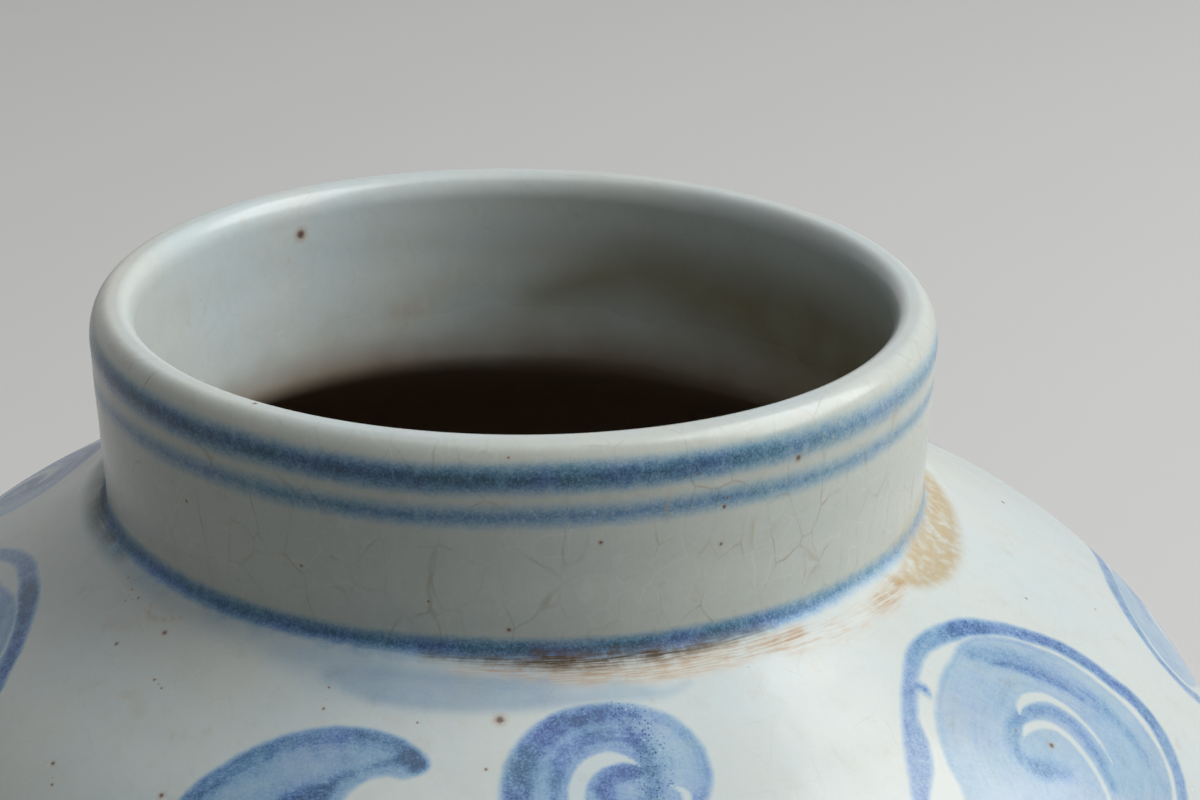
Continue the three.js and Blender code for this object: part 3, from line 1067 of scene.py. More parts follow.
@dataclass(frozen=True)
class Brushwork:
    """All that is painted on the outer face, with the stains that years of use left in the crease.

    Attributes:
        great_scrolls: Where the large outlined scrolls stand.
        cloud_heads: Where the curled cloud heads stand.
        cloud_wings: Where the cloud wings stand.
        cloud_banks: Where the low cloud banks stand.
        wisps: Where the wisps below the belly stand.
        haze: Soft smears of thin wash under the neck, which also lay a grey painted shade there.
        rust: Orange-brown streaked stains.
        ochre: Paler, broader stains.
        soot: Dark stains in the crease.
        specks: Iron specks: degrees round, millimetres down and their width in millimetres.
        inner_stain_and_shade: Tan stains on the inner face, with painted shade on the inner wall turned from
            the light.
    """

    great_scrolls: tuple[Placing, ...] = (
        Placing(), Placing(-129.1, 4, 1.13, 1.4), Placing(137.5, 0.6, 1.05, 1.1),
    )
    cloud_heads: tuple[Placing, ...] = (
        Placing(), Placing(148, 3, 0.96, 0.9), Placing(-117, 2, 1.04, 0.95),
    )
    cloud_wings: tuple[Placing, ...] = (
        Placing(), Placing(151, 1, 1.02, 0.9), Placing(-112, 4, 0.95, 1),
    )
    cloud_banks: tuple[Placing, ...] = (Placing(),)
    wisps: tuple[Placing, ...] = (
        Placing(), Placing(62, 4, 0.9, 0.9), Placing(121, 1, 1.05, 0.95), Placing(180, 5, 0.92),
        Placing(-118, 0, 1, 0.9), Placing(-58, 4, 0.95, 0.95),
    )
    # Thin cobalt smears below the neck; the same strokes also lay a grey painted shade there.
    haze: tuple[Stroke, ...] = (
        Stroke((
            (-22, 6.6, 3), (-16, 7.2, 6.6), (-8, 7.2, 7.4), (0, 6.6, 7.4), (7, 6.4, 6.4), (12, 7.4, 4.4),
            (16.8, 8.8, 1.6), (20, 7.6, 0.4),
        ), tone=0.2, soft=3),
        Stroke(((-30, 4.6, 3), (-22, 5.4, 8), (-10, 5.8, 9), (2, 5, 8)), tone=0.13, soft=7),
        Stroke(((-16, 9.8, 1), (-6, 10, 1.6), (6, 8.6, 1.6), (15, 8.8, 1)), tone=0.07, soft=2),
        Stroke(((-62, 2, 2), (-48, 2.6, 4), (-32, 3, 5), (-16, 2.6, 3)), tone=0.1, soft=6),
        Stroke(((132, 6, 2), (144, 7.6, 7), (158, 7.2, 8), (170, 7.4, 3)), tone=0.28, soft=4),
    )
    rust: tuple[Stroke, ...] = (
        Stroke((
            (-8, 2.6, 1), (0, 3, 2.6), (7, 3.2, 4.4), (15, 3.6, 5.4), (24, 3.8, 5), (31, 3.4, 3.6),
            (38, 3.2, 2),
        ), tone=1.05, soft=3),
        Stroke((
            (34, 5, 3), (42, 5.4, 4.6), (50, 5.2, 4.2), (55, 4.4, 3), (60, 3, 1.6),
        ), tone=0.7, soft=3.6),
        Stroke(((49.6, 4.6, 1.6), (53, 4.4, 4), (57.4, 3.2, 3.4)), tone=0.6, soft=2.6),
        Stroke(((150, 3, 1), (168, 3.6, 3.4), (190, 3, 1)), tone=0.8, soft=4),
    )
    ochre: tuple[Stroke, ...] = (
        Stroke((
            (58, 3.4, 1.6), (62, 4.6, 6), (66.5, 4.6, 9), (72, 4.2, 9.6), (78, 3.6, 8.4), (86, 2.8, 6.4),
            (96, 1.8, 3),
        ), tone=1.2, soft=3.4),
        Stroke(((62, -1, 1), (68, -3, 3.4), (76, -4, 3), (88, -3, 1.6)), tone=0.45, soft=4),
        Stroke(((50, 4.8, 2.6), (54, 4.2, 4), (57.6, 3, 3)), tone=0.6, soft=3),
        Stroke(((4, 3.6, 2), (14, 4.4, 3.6), (28, 3.8, 3), (38, 3.4, 1.6)), tone=0.5, soft=4),
        Stroke(((-75, 2.6, 1), (-84, 2.6, 2.4), (-94, 2, 1)), tone=0.5, soft=4),
        Stroke(((58.4, -29.8, 0.7), (58.1, -27.9, 0.9), (57.7, -25.6, 0.5)), tone=1.1, soft=0.9),
        Stroke(((68.6, -12, 0.6), (68.3, -10.2, 0.9), (68, -8.4, 0.5)), tone=1, soft=0.9),
        Stroke(((31.2, -20.4, 0.3), (30.9, -17.9, 0.5), (30.8, -15.4, 0.3)), tone=0.8, soft=0.9),
        Stroke(((19.2, -28.2, 0.4), (18.8, -25.2, 0.5), (18.9, -22.4, 0.3)), tone=0.8, soft=0.9),
        Stroke((
            (-51.4, 5.3, 0.3), (-49.7, 7.2, 0.5), (-47.4, 5.9, 0.4), (-45.5, 4.5, 0.2),
        ), tone=1, soft=0.9),
        Stroke(((-54.6, 12, 2), (-51.8, 10.6, 2.6)), tone=0.3, soft=3),
        Stroke(((-164, -67.8, 3.4), (-160, -68.6, 4)), tone=0.55, soft=6),
        Stroke(((-186, -56, 3), (-176, -60, 8), (-166, -64, 6)), tone=0.3, soft=9),
        Stroke(((-43, 20.6, 1.6), (-40.8, 23, 2)), tone=0.3, soft=2.6),
        Stroke(((-120, -38.6, 1.6), (-92, -38.2, 2.2), (-62, -37.4, 1.2)), tone=0.3, soft=3),
    )
    soot: tuple[Stroke, ...] = (
        Stroke((
            (-12, 0.6, 0.8), (-4, 0.8, 1.8), (3.4, 1, 3.2), (10, 1.2, 3.4), (18, 1.1, 2.8), (26, 0.9, 1.8),
            (34, 0.8, 0.6),
        ), tone=1.35, soft=3.2),
        Stroke(((2, -1, 1.6), (3.6, -0.4, 2.6), (5, 0.4, 1.6)), tone=0.6, soft=3),
        Stroke(((9.9, -0.2, 1.2), (12.6, 0, 1.8), (16.4, 0.2, 1)), tone=0.5, soft=2.4),
        Stroke(((-96, -2, 2), (-86, -0.6, 4.4), (-77, 0.6, 4), (-64, 1, 1)), tone=0.95, soft=5),
    )
    specks: tuple[tuple[float, float, float], ...] = (
        (-1.9, 12.2, 1.6), (-46, 8.3, 0.9), (-50.7, 14.1, 0.7), (-42.2, 16.7, 0.5), (-40.6, 17.6, 0.4),
        (-59, 3.5, 0.35), (-56.5, 4.7, 0.4), (-54.2, 5.3, 0.5), (-55.6, 6.9, 0.3), (-45.3, 37.3, 0.7),
        (-43.8, 40.4, 0.5), (-32.8, 35.3, 0.9), (-21.7, 9.1, 0.4), (-21.3, 13.2, 0.5), (-10.7, 13.5, 0.4),
        (-3.1, 21.5, 0.5), (54.6, 41.6, 1.1), (52.2, 36, 0.4), (73.6, 22.7, 0.5), (81.4, 36.5, 0.4),
        (30.5, 44, 0.5), (-1, -4.5, 0.7), (10.4, -19.7, 0.7), (-0.9, -34.7, 0.4), (22.6, -29.9, 0.35),
        (27, -24.7, 0.4), (37.7, -28.7, 1.2), (-36.6, -39.3, 0.7), (-142.1, -48.8, 2), (-28, -12, 0.5),
        (-47, -17, 0.6), (-11, -9, 0.4), (100, 22, 0.9), (148, 30, 0.8), (-166, 18, 0.8), (-120, 52, 0.9),
        (120, 88, 1), (-30, 96, 0.9), (66, 120, 0.9), (10, 150, 0.8), (-70, 170, 1),
    )
    # Tan stains and painted shade: the inner wall turned from the key light is darkened here.
    inner_stain_and_shade: tuple[Stroke, ...] = (
        Stroke((
            (176, -66, 4), (160, -60, 10), (146, -62, 16), (128, -64, 22), (104, -64, 26), (80, -64, 24),
            (58, -66, 10),
        ), tone=1, soft=16),
        Stroke(((-172, -80, 5), (150, -80, 10), (100, -80, 12)), tone=0.5, soft=10),
    )

    def paint(self, canvas: Canvas) -> None:
        """Paints everything on one section's canvas.

        Args:
            canvas: The section's canvas.
        """
        motifs = (
            (GREAT_SCROLL, self.great_scrolls), (CLOUD_HEAD, self.cloud_heads),
            (CLOUD_WING, self.cloud_wings), (CLOUD_BANK, self.cloud_banks), (WISP, self.wisps),
        )
        for motif, placings in motifs:
            for placing in placings:
                motif.paint(canvas, placing)
        for layer in ("haze", "rust", "ochre", "soot", "inner_stain_and_shade"):
            for stroke in getattr(self, layer):
                canvas.shade(layer, stroke.smooth(), stroke.tone, stroke.soft)
        canvas.speckle(self.specks)


@dataclass(frozen=True)
class Grain:
    """Noise about 0.5.

    Attributes:
        spacing: How far apart its grains are, in the unit of the vector that it is laid on.
        detail: How many layers of finer grains ride on it.
        rough: How strong each finer layer is beside the one before.
    """

    spacing: float
    detail: float = 3
    rough: float = 0.5

    def shape(self, g: "Graph", noise: Socket) -> Socket:
        """The noise as it is used."""
        return noise


@dataclass(frozen=True)
class Patches(Grain):
    """Noise of which only the high places count.

    Attributes:
        low: The noise up to which the value is weak.
        high: The noise from which it is strong.
        weak: The least value.
        strong: The greatest value.
    """

    low: float = 0.0
    high: float = 1.0
    weak: float = 0.0
    strong: float = 1.0

    def shape(self, g: "Graph", noise: Socket) -> Socket:
        """The noise as a smooth step from weak to strong."""
        return g.step(noise, self.low, self.high, self.weak, self.strong)


@dataclass(frozen=True)
class Ripple(Grain):
    """Noise that sways a value.

    Attributes:
        least: The least value.
        most: The greatest value.
    """

    least: float = 0.0
    most: float = 1.0

    def shape(self, g: "Graph", noise: Socket) -> Socket:
        """The noise spread over the range."""
        return g.scaled(noise, self.most - self.least, self.least)


class Graph:
    """Lays out shader nodes in one tree, giving sockets back so that they can be chained."""

    def __init__(self, tree: bpy.types.NodeTree) -> None:
        """Takes the tree to add nodes to."""
        self.tree = tree

    @classmethod
    def of(cls, owner: bpy.types.ID) -> "Graph":
        """The emptied tree of a new material or world.

        Args:
            owner: The material or world.

        Returns:
            The graph of its tree.
        """
        owner.use_nodes = True
        owner.node_tree.nodes.clear()
        return cls(owner.node_tree)

    def finish(self, kind: str, shader: Socket) -> None:
        """Links a shader to a new output, of the kind Material or World."""
        self.node("Output" + kind, {0: shader})

    def feed(self, socket: Socket, value: object) -> None:
        """Links a socket to another, or sets its value."""
        if isinstance(value, bpy.types.NodeSocket):
            self.tree.links.new(value, socket)
        elif value is not None:
            socket.default_value = value

    def node(self, kind: str, inputs: dict | None = None, **settings: object) -> bpy.types.Node:
        """Adds a node.

        Args:
            kind: The node's type without its ShaderNode prefix.
            inputs: Values or sockets by input name or number.
            settings: The node's own properties.

        Returns:
            The node.
        """
        made = self.tree.nodes.new("ShaderNode" + kind)
        for name, value in settings.items():
            setattr(made, name, value)
        for name, value in (inputs or {}).items():
            self.feed(made.inputs[name], value)
        return made

    def math(
        self, operation: str, a: object, b: object = None, c: object = None, clamp: bool = False,
    ) -> Socket:
        """One arithmetic step."""
        return self.node("Math", {0: a, 1: b, 2: c}, operation=operation, use_clamp=clamp).outputs[0]

    def add(self, a: object, b: object) -> Socket:
        """a + b."""
        return self.math("ADD", a, b)

    def less(self, a: object, b: object) -> Socket:
        """a - b."""
        return self.math("SUBTRACT", a, b)

    def times(self, a: object, b: object) -> Socket:
        """a times b."""
        return self.math("MULTIPLY", a, b)

    def over(self, a: object, b: object) -> Socket:
        """a divided by b."""
        return self.math("DIVIDE", a, b)

    def scaled(self, value: object, factor: object, offset: object, clamp: bool = False) -> Socket:
        """A value times a factor, plus an offset."""
        return self.math("MULTIPLY_ADD", value, factor, offset, clamp)

    def greater(self, a: object, b: object) -> Socket:
        """The greater of a and b."""
        return self.math("MAXIMUM", a, b)

    def step(
        self, value: object, low: float, high: float, to_low: float = 0.0, to_high: float = 1.0,
    ) -> Socket:
        """A smooth step: to_low at low, to_high at high, which may lie below low.

        Args:
            value: The value.
            low: Where the step starts.
            high: Where it ends.
            to_low: The result at low.
            to_high: The result at high.

        Returns:
            The result.
        """
        flipped = low > high
        first, last = (high, low) if flipped else (low, high)
        a, b = (to_high, to_low) if flipped else (to_low, to_high)
        return self.node(
            "MapRange", {"Value": value, "From Min": first, "From Max": last, "To Min": a, "To Max": b},
            interpolation_type="SMOOTHSTEP",
        ).outputs["Result"]

    def stretch(self, vector: object, factors: Sequence[float]) -> Socket:
        """A vector times three factors."""
        return self.node("VectorMath", {0: vector, 1: tuple(factors)}, operation="MULTIPLY").outputs[0]

    def join(self, x: object, y: object, z: object = None) -> Socket:
        """The vector of three numbers."""
        return self.node("CombineXYZ", {0: x, 1: y, 2: z}).outputs[0]

    def split(self, vector: object) -> bpy.types.NodeOutputs:
        """The three numbers of a vector."""
        return self.node("SeparateXYZ", {0: vector}).outputs

    def length(self, vector: object) -> Socket:
        """The length of a vector."""
        return self.node("VectorMath", {0: vector}, operation="LENGTH").outputs["Value"]

    def noise(self, vector: object, grain: Grain) -> Socket:
        """Noise laid on a vector, as the grain shapes it."""
        raw = self.node("TexNoise", {
            "Vector": vector, "Scale": 1 / grain.spacing, "Detail": grain.detail, "Roughness": grain.rough,
        }, noise_dimensions="3D").outputs[0]
        return grain.shape(self, raw)

    def blend(self, share: object, a: object, b: object) -> Socket:
        """The colour a turning into b by a share, which counts from 0 to 1."""
        return self.node("Mix", {0: share, 6: a, 7: b}, data_type="RGBA").outputs[2]

    def blend_number(self, share: object, a: object, b: object) -> Socket:
        """The number a turning into b by a share."""
        return self.node("Mix", {0: share, 2: a, 3: b}, data_type="FLOAT").outputs[0]

    def bump(self, height: Socket, strength: float) -> Socket:
        """The normal of a relief whose height is in millimetres."""
        return self.node("Bump", {"Strength": strength, "Distance": MM, "Height": height}).outputs[0]

    def place(self) -> Socket:
        """The point's place on the jar in millimetres."""
        there = self.node("TexCoord").outputs["Object"]
        return self.node("VectorMath", {0: there, "Scale": 1 / MM}, operation="SCALE").outputs[0]

    def read(self, name: str, part: str = "Fac") -> Socket:
        """A mesh attribute's value."""
        return self.node("Attribute", attribute_name=name).outputs[part]

    def use(self, effect: str, **inputs: object) -> bpy.types.NodeOutputs:
        """Places an effect's node group and gives back what it puts out.

        Args:
            effect: The group's name.
            inputs: Values or sockets by input name.

        Returns:
            The group's outputs.
        """
        made = self.tree.nodes.new("ShaderNodeGroup")
        made.node_tree = bpy.data.node_groups[effect]
        for name, value in inputs.items():
            self.feed(made.inputs[name], value)
        return made.outputs


class Effect:
    """A shader node group with named sockets, built once and shared by the finishes."""

    def __init__(self, name: str, inputs: dict[str, object], outputs: dict[str, str]) -> None:
        """Makes the empty group.

        Args:
            name: The group's name.
            inputs: Default values by input name: a number, or a vector of three.
            outputs: Socket types by output name, Float or Color.
        """
        self.tree = bpy.data.node_groups.new(name, "ShaderNodeTree")
        for key, value in inputs.items():
            kind = "NodeSocketVector" if isinstance(value, tuple) else "NodeSocketFloat"
            self.tree.interface.new_socket(key, in_out="INPUT", socket_type=kind).default_value = value
        for key, kind in outputs.items():
            self.tree.interface.new_socket(key, in_out="OUTPUT", socket_type="NodeSocket" + kind)
        self.graph = Graph(self.tree)
        self.given = self.tree.nodes.new("NodeGroupInput").outputs
        self.result = self.tree.nodes.new("NodeGroupOutput").inputs

    def give(self, **values: Socket) -> bpy.types.NodeTree:
        """Links the group's outputs and returns the finished group."""
        for key, value in values.items():
            self.graph.feed(self.result[key], value)
        return self.tree


def crackle_effect() -> bpy.types.NodeTree:
    """Fine cracks in the glaze: the borders of gently bent cells, faint in some patches, clear in others.

    Spacing is the cells' size, Width the cracks' width, and Share how much of the glaze is cracked. The
    cells are bent twice, by broad and by fine noise, each given as its scale and its reach.

    Returns:
        The group, whose Mask is 1 in the cracks.
    """
    bends = ((0.2, 2.0), (0.8, 0.25))
    broad, uneven = Grain(16, 2), Patches(4.0, 3, 0.6, low=0.36, high=0.6, weak=0.2)
    edge, cracked = (1.6, 0.1), (0.84, 1.12)
    effect = Effect(
        "crackle",
        {"Place": (0.0, 0.0, 0.0), "Spacing": 9.0, "Width": 0.11, "Share": 0.5},
        {"Mask": "Float"},
    )
    g, given = effect.graph, effect.given
    place = given["Place"]
    warped = place
    for scale, reach in bends:
        bend = g.node("TexNoise", {"Vector": place, "Scale": scale, "Detail": 1.0}).outputs["Color"]
        warped = g.node(
            "VectorMath", {0: bend, 1: (reach, reach, reach), 2: warped}, operation="MULTIPLY_ADD",
        ).outputs[0]
    cells = g.node(
        "TexVoronoi", {"Vector": warped, "Scale": g.over(1.0, given["Spacing"])},
        feature="DISTANCE_TO_EDGE",
    ).outputs["Distance"]
    widths_away = g.over(g.times(cells, given["Spacing"]), given["Width"])
    crack = g.step(widths_away, *edge)
    kept = g.step(g.add(g.noise(place, broad), given["Share"]), *cracked)
    return effect.give(Mask=g.times(g.times(crack, kept), g.noise(place, uneven)))


def speck_effect() -> bpy.types.NodeTree:
    """Iron specks: small round dots of uneven size in a few of many cells, with a rusty halo.

    Spacing is the cells' size, Size the largest specks' radius, and Share how many cells hold one. A
    cell's two chances choose whether it holds a speck, and how large it is.

    Returns:
        The group, which puts out the specks' Core and Halo.
    """
    wobble = Ripple(0.5, 2, least=-0.25, most=0.25)
    smallest, range_of_sizes = 0.35, 0.8
    core_edge, halo_edge = (1.15, 0.7), (2.6, 0.8)
    effect = Effect(
        "iron_specks",
        {"Place": (0.0, 0.0, 0.0), "Spacing": 9.0, "Size": 0.42, "Share": 0.3},
        {"Core": "Float", "Halo": "Float"},
    )
    g, given = effect.graph, effect.given
    cells = g.node(
        "TexVoronoi", {"Vector": given["Place"], "Scale": g.over(1.0, given["Spacing"])}, feature="F1",
    )
    chance = g.node("SeparateColor", {0: cells.outputs["Color"]}).outputs
    distance = g.times(cells.outputs["Distance"], given["Spacing"])
    chosen = g.math("LESS_THAN", chance[0], given["Share"])
    radius = g.times(given["Size"], g.scaled(chance[1], range_of_sizes, smallest))
    radii_away = g.over(g.add(distance, g.times(g.noise(given["Place"], wobble), radius)), radius)
    return effect.give(
        Core=g.times(g.step(radii_away, *core_edge), chosen),
        Halo=g.times(g.step(radii_away, *halo_edge), chosen),
    )


def cobalt_effect() -> bpy.types.NodeTree:
    """Cobalt under glaze: light falls off with the pigment's density, in red first, then in green.

    Blue gets through a thin wash almost whole, and falls off faster where the pigment lies thick. The
    tint moves the pigment from teal towards violet. Each channel is its transmittance at a density of
    one, as a share for the tint and a start, raised to its own depth: the density times a line in it.

    Returns:
        The group, whose Color is the light that the pigment lets through.
    """
    most, easing = 1.7, 0.5
    channels = (
        (0.02, 0.145, None),
        (-0.012, 0.305, (0.12, 0.85)),
        (0.1, 0.545, (0.65, 0.2)),
    )
    effect = Effect("cobalt", {"Density": 0.0, "Tint": 0.5}, {"Color": "Color"})
    g, given = effect.graph, effect.given
    density = g.math("SMOOTH_MIN", given["Density"], most, easing)
    parts = []
    for by_tint, start, line in channels:
        depth = g.times(density, g.scaled(density, *line)) if line else density
        parts.append(g.math("POWER", g.scaled(given["Tint"], by_tint, start), depth))
    return effect.give(Color=g.node("CombineColor", dict(enumerate(parts))).outputs[0])


def ring_effect() -> bpy.types.NodeTree:
    """A line painted round the turning jar: full in its middle, soft at its edges, fading to one side.

    Wander moves the line, Ragged roughens its edge, Swell widens it, Shaded and Lit are 1 on the sides where
    it bleeds and where it fades. The bleed on the side in shade is partly painted shade, and the paling on
    the lit side is painted light.

    Returns:
        The group, which puts out the ring's Density.
    """
    run_down, run_start = (6.5, 0.0), (-1.0, 1.0)
    effect = Effect(
        "painted_ring",
        {"Down": 0.0, "Wander": 0.0, "Ragged": 0.0, "Swell": 1.0, "Shaded": 0.0, "Lit": 0.0,
         "Centre": 0.0, "Width": 3.0, "Soft": 1.2, "Tone": 1.0, "Bleed": 0.0, "Fade": 0.0},
        {"Density": "Float"},
    )
    g, given = effect.graph, effect.given
    off = g.add(g.less(given["Down"], given["Centre"]), given["Wander"])
    half = g.times(g.times(given["Width"], given["Swell"]), 0.5)
    edge = g.add(g.less(g.math("ABSOLUTE", off), half), given["Ragged"])
    main = g.step(g.over(edge, given["Soft"]), 1.0, -1.0)
    # The bleed below the ring, on the side in shade only, is partly painted shade.
    below = g.times(g.step(off, *run_down), g.step(off, *run_start))
    run = g.times(g.times(below, given["Bleed"]), given["Shaded"])
    # Paler towards +X, the lit side: painted light.
    faded = g.scaled(given["Lit"], given["Fade"], 1.0)
    return effect.give(Density=g.times(g.greater(main, run), g.times(given["Tone"], faded)))


@dataclass(frozen=True)
class Cracks:
    """A net of cracks in the glaze.

    Attributes:
        spacing: The size of its cells in millimetres.
        width: The cracks' width in millimetres.
        share: How much of the glaze is cracked.
    """

    spacing: float
    width: float
    share: float

    def mask(self, g: Graph, place: Socket) -> Socket:
        """1 in the cracks."""
        return g.use("crackle", Place=place, Spacing=self.spacing, Width=self.width, Share=self.share)[0]


@dataclass(frozen=True)
class Specks:
    """Small round specks strewn over a surface.

    Attributes:
        spacing: How far apart their places are, in millimetres.
        size: The radius of the largest ones in millimetres.
        share: How many of the places hold one.
    """

    spacing: float
    size: float
    share: float

    def strewn(self, g: Graph, place: Socket) -> bpy.types.NodeOutputs:
        """The specks' cores and halos."""
        return g.use("iron_specks", Place=place, Spacing=self.spacing, Size=self.size, Share=self.share)


@dataclass(frozen=True)
class BareGlaze:
    """The glaze's own colour: cool and warm drifts, combed upright on the neck, mottled and cracked.

    Attributes:
        cool: The glaze where it is thick and bluish.
        warm: The glaze where it is thin.
        neck_warm: The glaze on the neck and lip where it is thin.
        dull: The grey of its clouds and grains.
        crack: The brown cracks.
        pale_crack: The fine pale cracks.
        ochre: The tinge of its warm patches.
        drift: The slow change from cool to warm.
        fine: The fine change laid over it.
        warming: Between which values of both the glaze turns from cool to warm.
        combed: The upright combing of the neck.
        comb_stretch: How it is drawn out upright.
        cloudy: How much of the grey its clouds take on.
        grained: The grains.
        tinged: How much of the ochre its warm patches take on.
        stained: How much of the brown cracks shows.
        brown_cracks: The net of brown cracks.
        crack_stretch: How its cells are drawn out upright.
        pale_cracks: The net of pale cracks.
        fine_share: How much of the fine change is added to the slow one.
        neck_combing: How the neck's warmth follows its combing: a factor and a start.
        grains_shown: How much of the grey the grains take on: more of it on the neck, and all over.
        pale_shown: The same for the pale cracks.
        brown_shown: The same for the brown cracks.
    """

    cool: Colour = (0.635, 0.728, 0.735, 1)
    warm: Colour = (0.683, 0.728, 0.692, 1)
    neck_warm: Colour = (0.645, 0.68, 0.61, 1)
    dull: Colour = (0.50, 0.52, 0.45, 1)
    crack: Colour = (0.40, 0.33, 0.22, 1)
    pale_crack: Colour = (0.82, 0.83, 0.78, 1)
    ochre: Colour = (0.52, 0.41, 0.235, 1)
    drift: Grain = Grain(30)
    fine: Grain = Grain(2.0)
    warming: Point = (0.46, 0.86)
    combed: Grain = Grain(1.6, 3, 0.6)
    comb_stretch: tuple[float, ...] = (1.0, 1.0, 0.07)
    cloudy: Grain = Patches(7, 4, 0.6, low=0.42, high=0.78, strong=0.16)
    grained: Grain = Patches(0.9, 3, 0.65, low=0.4, high=0.75)
    tinged: Grain = Patches(5, 5, 0.65, low=0.58, high=0.78, strong=0.26)
    stained: Grain = Patches(9, low=0.42, high=0.7, weak=0.1, strong=0.5)
    brown_cracks: Cracks = Cracks(7.0, 0.15, 0.74)
    crack_stretch: tuple[float, ...] = (1.0, 1.0, 0.62)
    pale_cracks: Cracks = Cracks(5.0, 0.13, 0.56)
    fine_share: float = 0.3
    neck_combing: Point = (0.7, 0.45)
    grains_shown: Point = (0.1, 0.06)
    pale_shown: Point = (0.2, 0.1)
    brown_shown: Point = (0.75, 0.25)

    def colour(self, g: Graph, place: Socket, neck: Socket) -> Socket:
        """The colour at a place, with the neck's share of it.

        Args:
            g: The material's graph.
            place: The place in millimetres.
            neck: 1 on the neck, 0 on the lip and the body.

        Returns:
            The colour.
        """
        drift = g.scaled(g.noise(place, self.fine), self.fine_share, g.noise(place, self.drift))
        glaze = g.blend(g.step(drift, *self.warming), self.cool, self.warm)
        combed = g.noise(g.stretch(place, self.comb_stretch), self.combed)
        warmed = g.times(neck, g.scaled(combed, *self.neck_combing, clamp=True))
        glaze = g.blend(warmed, glaze, self.neck_warm)
        glaze = g.blend(g.noise(place, self.cloudy), glaze, self.dull)
        grained = g.times(g.noise(place, self.grained), g.scaled(neck, *self.grains_shown))
        glaze = g.blend(grained, glaze, self.dull)
        pale = g.times(self.pale_cracks.mask(g, place), g.scaled(neck, *self.pale_shown))
        glaze = g.blend(pale, glaze, self.pale_crack)
        brown = self.brown_cracks.mask(g, g.stretch(place, self.crack_stretch))
        brown = g.times(g.times(brown, g.scaled(neck, *self.brown_shown)), g.noise(place, self.stained))
        glaze = g.blend(brown, glaze, self.crack)
        return g.blend(g.noise(place, self.tinged), glaze, self.ochre)


@dataclass(frozen=True)
class Ring:
    """A line painted round the turning jar.

    Attributes:
        centre: Its middle, in millimetres down from the neck's corner.
        width: Its width in millimetres.
        soft: How softly its edges fade, in millimetres.
        tone: The cobalt's strength.
        bleed_and_shade: How much runs down from it on the side in shade: cobalt bleed, partly painted shade.
        fade: What is added to its tone towards +X, the lit side, as a share of it: the paler line there is
            painted light.
    """

    centre: float
    width: float
    soft: float
    tone: float
    bleed_and_shade: float
    fade: float


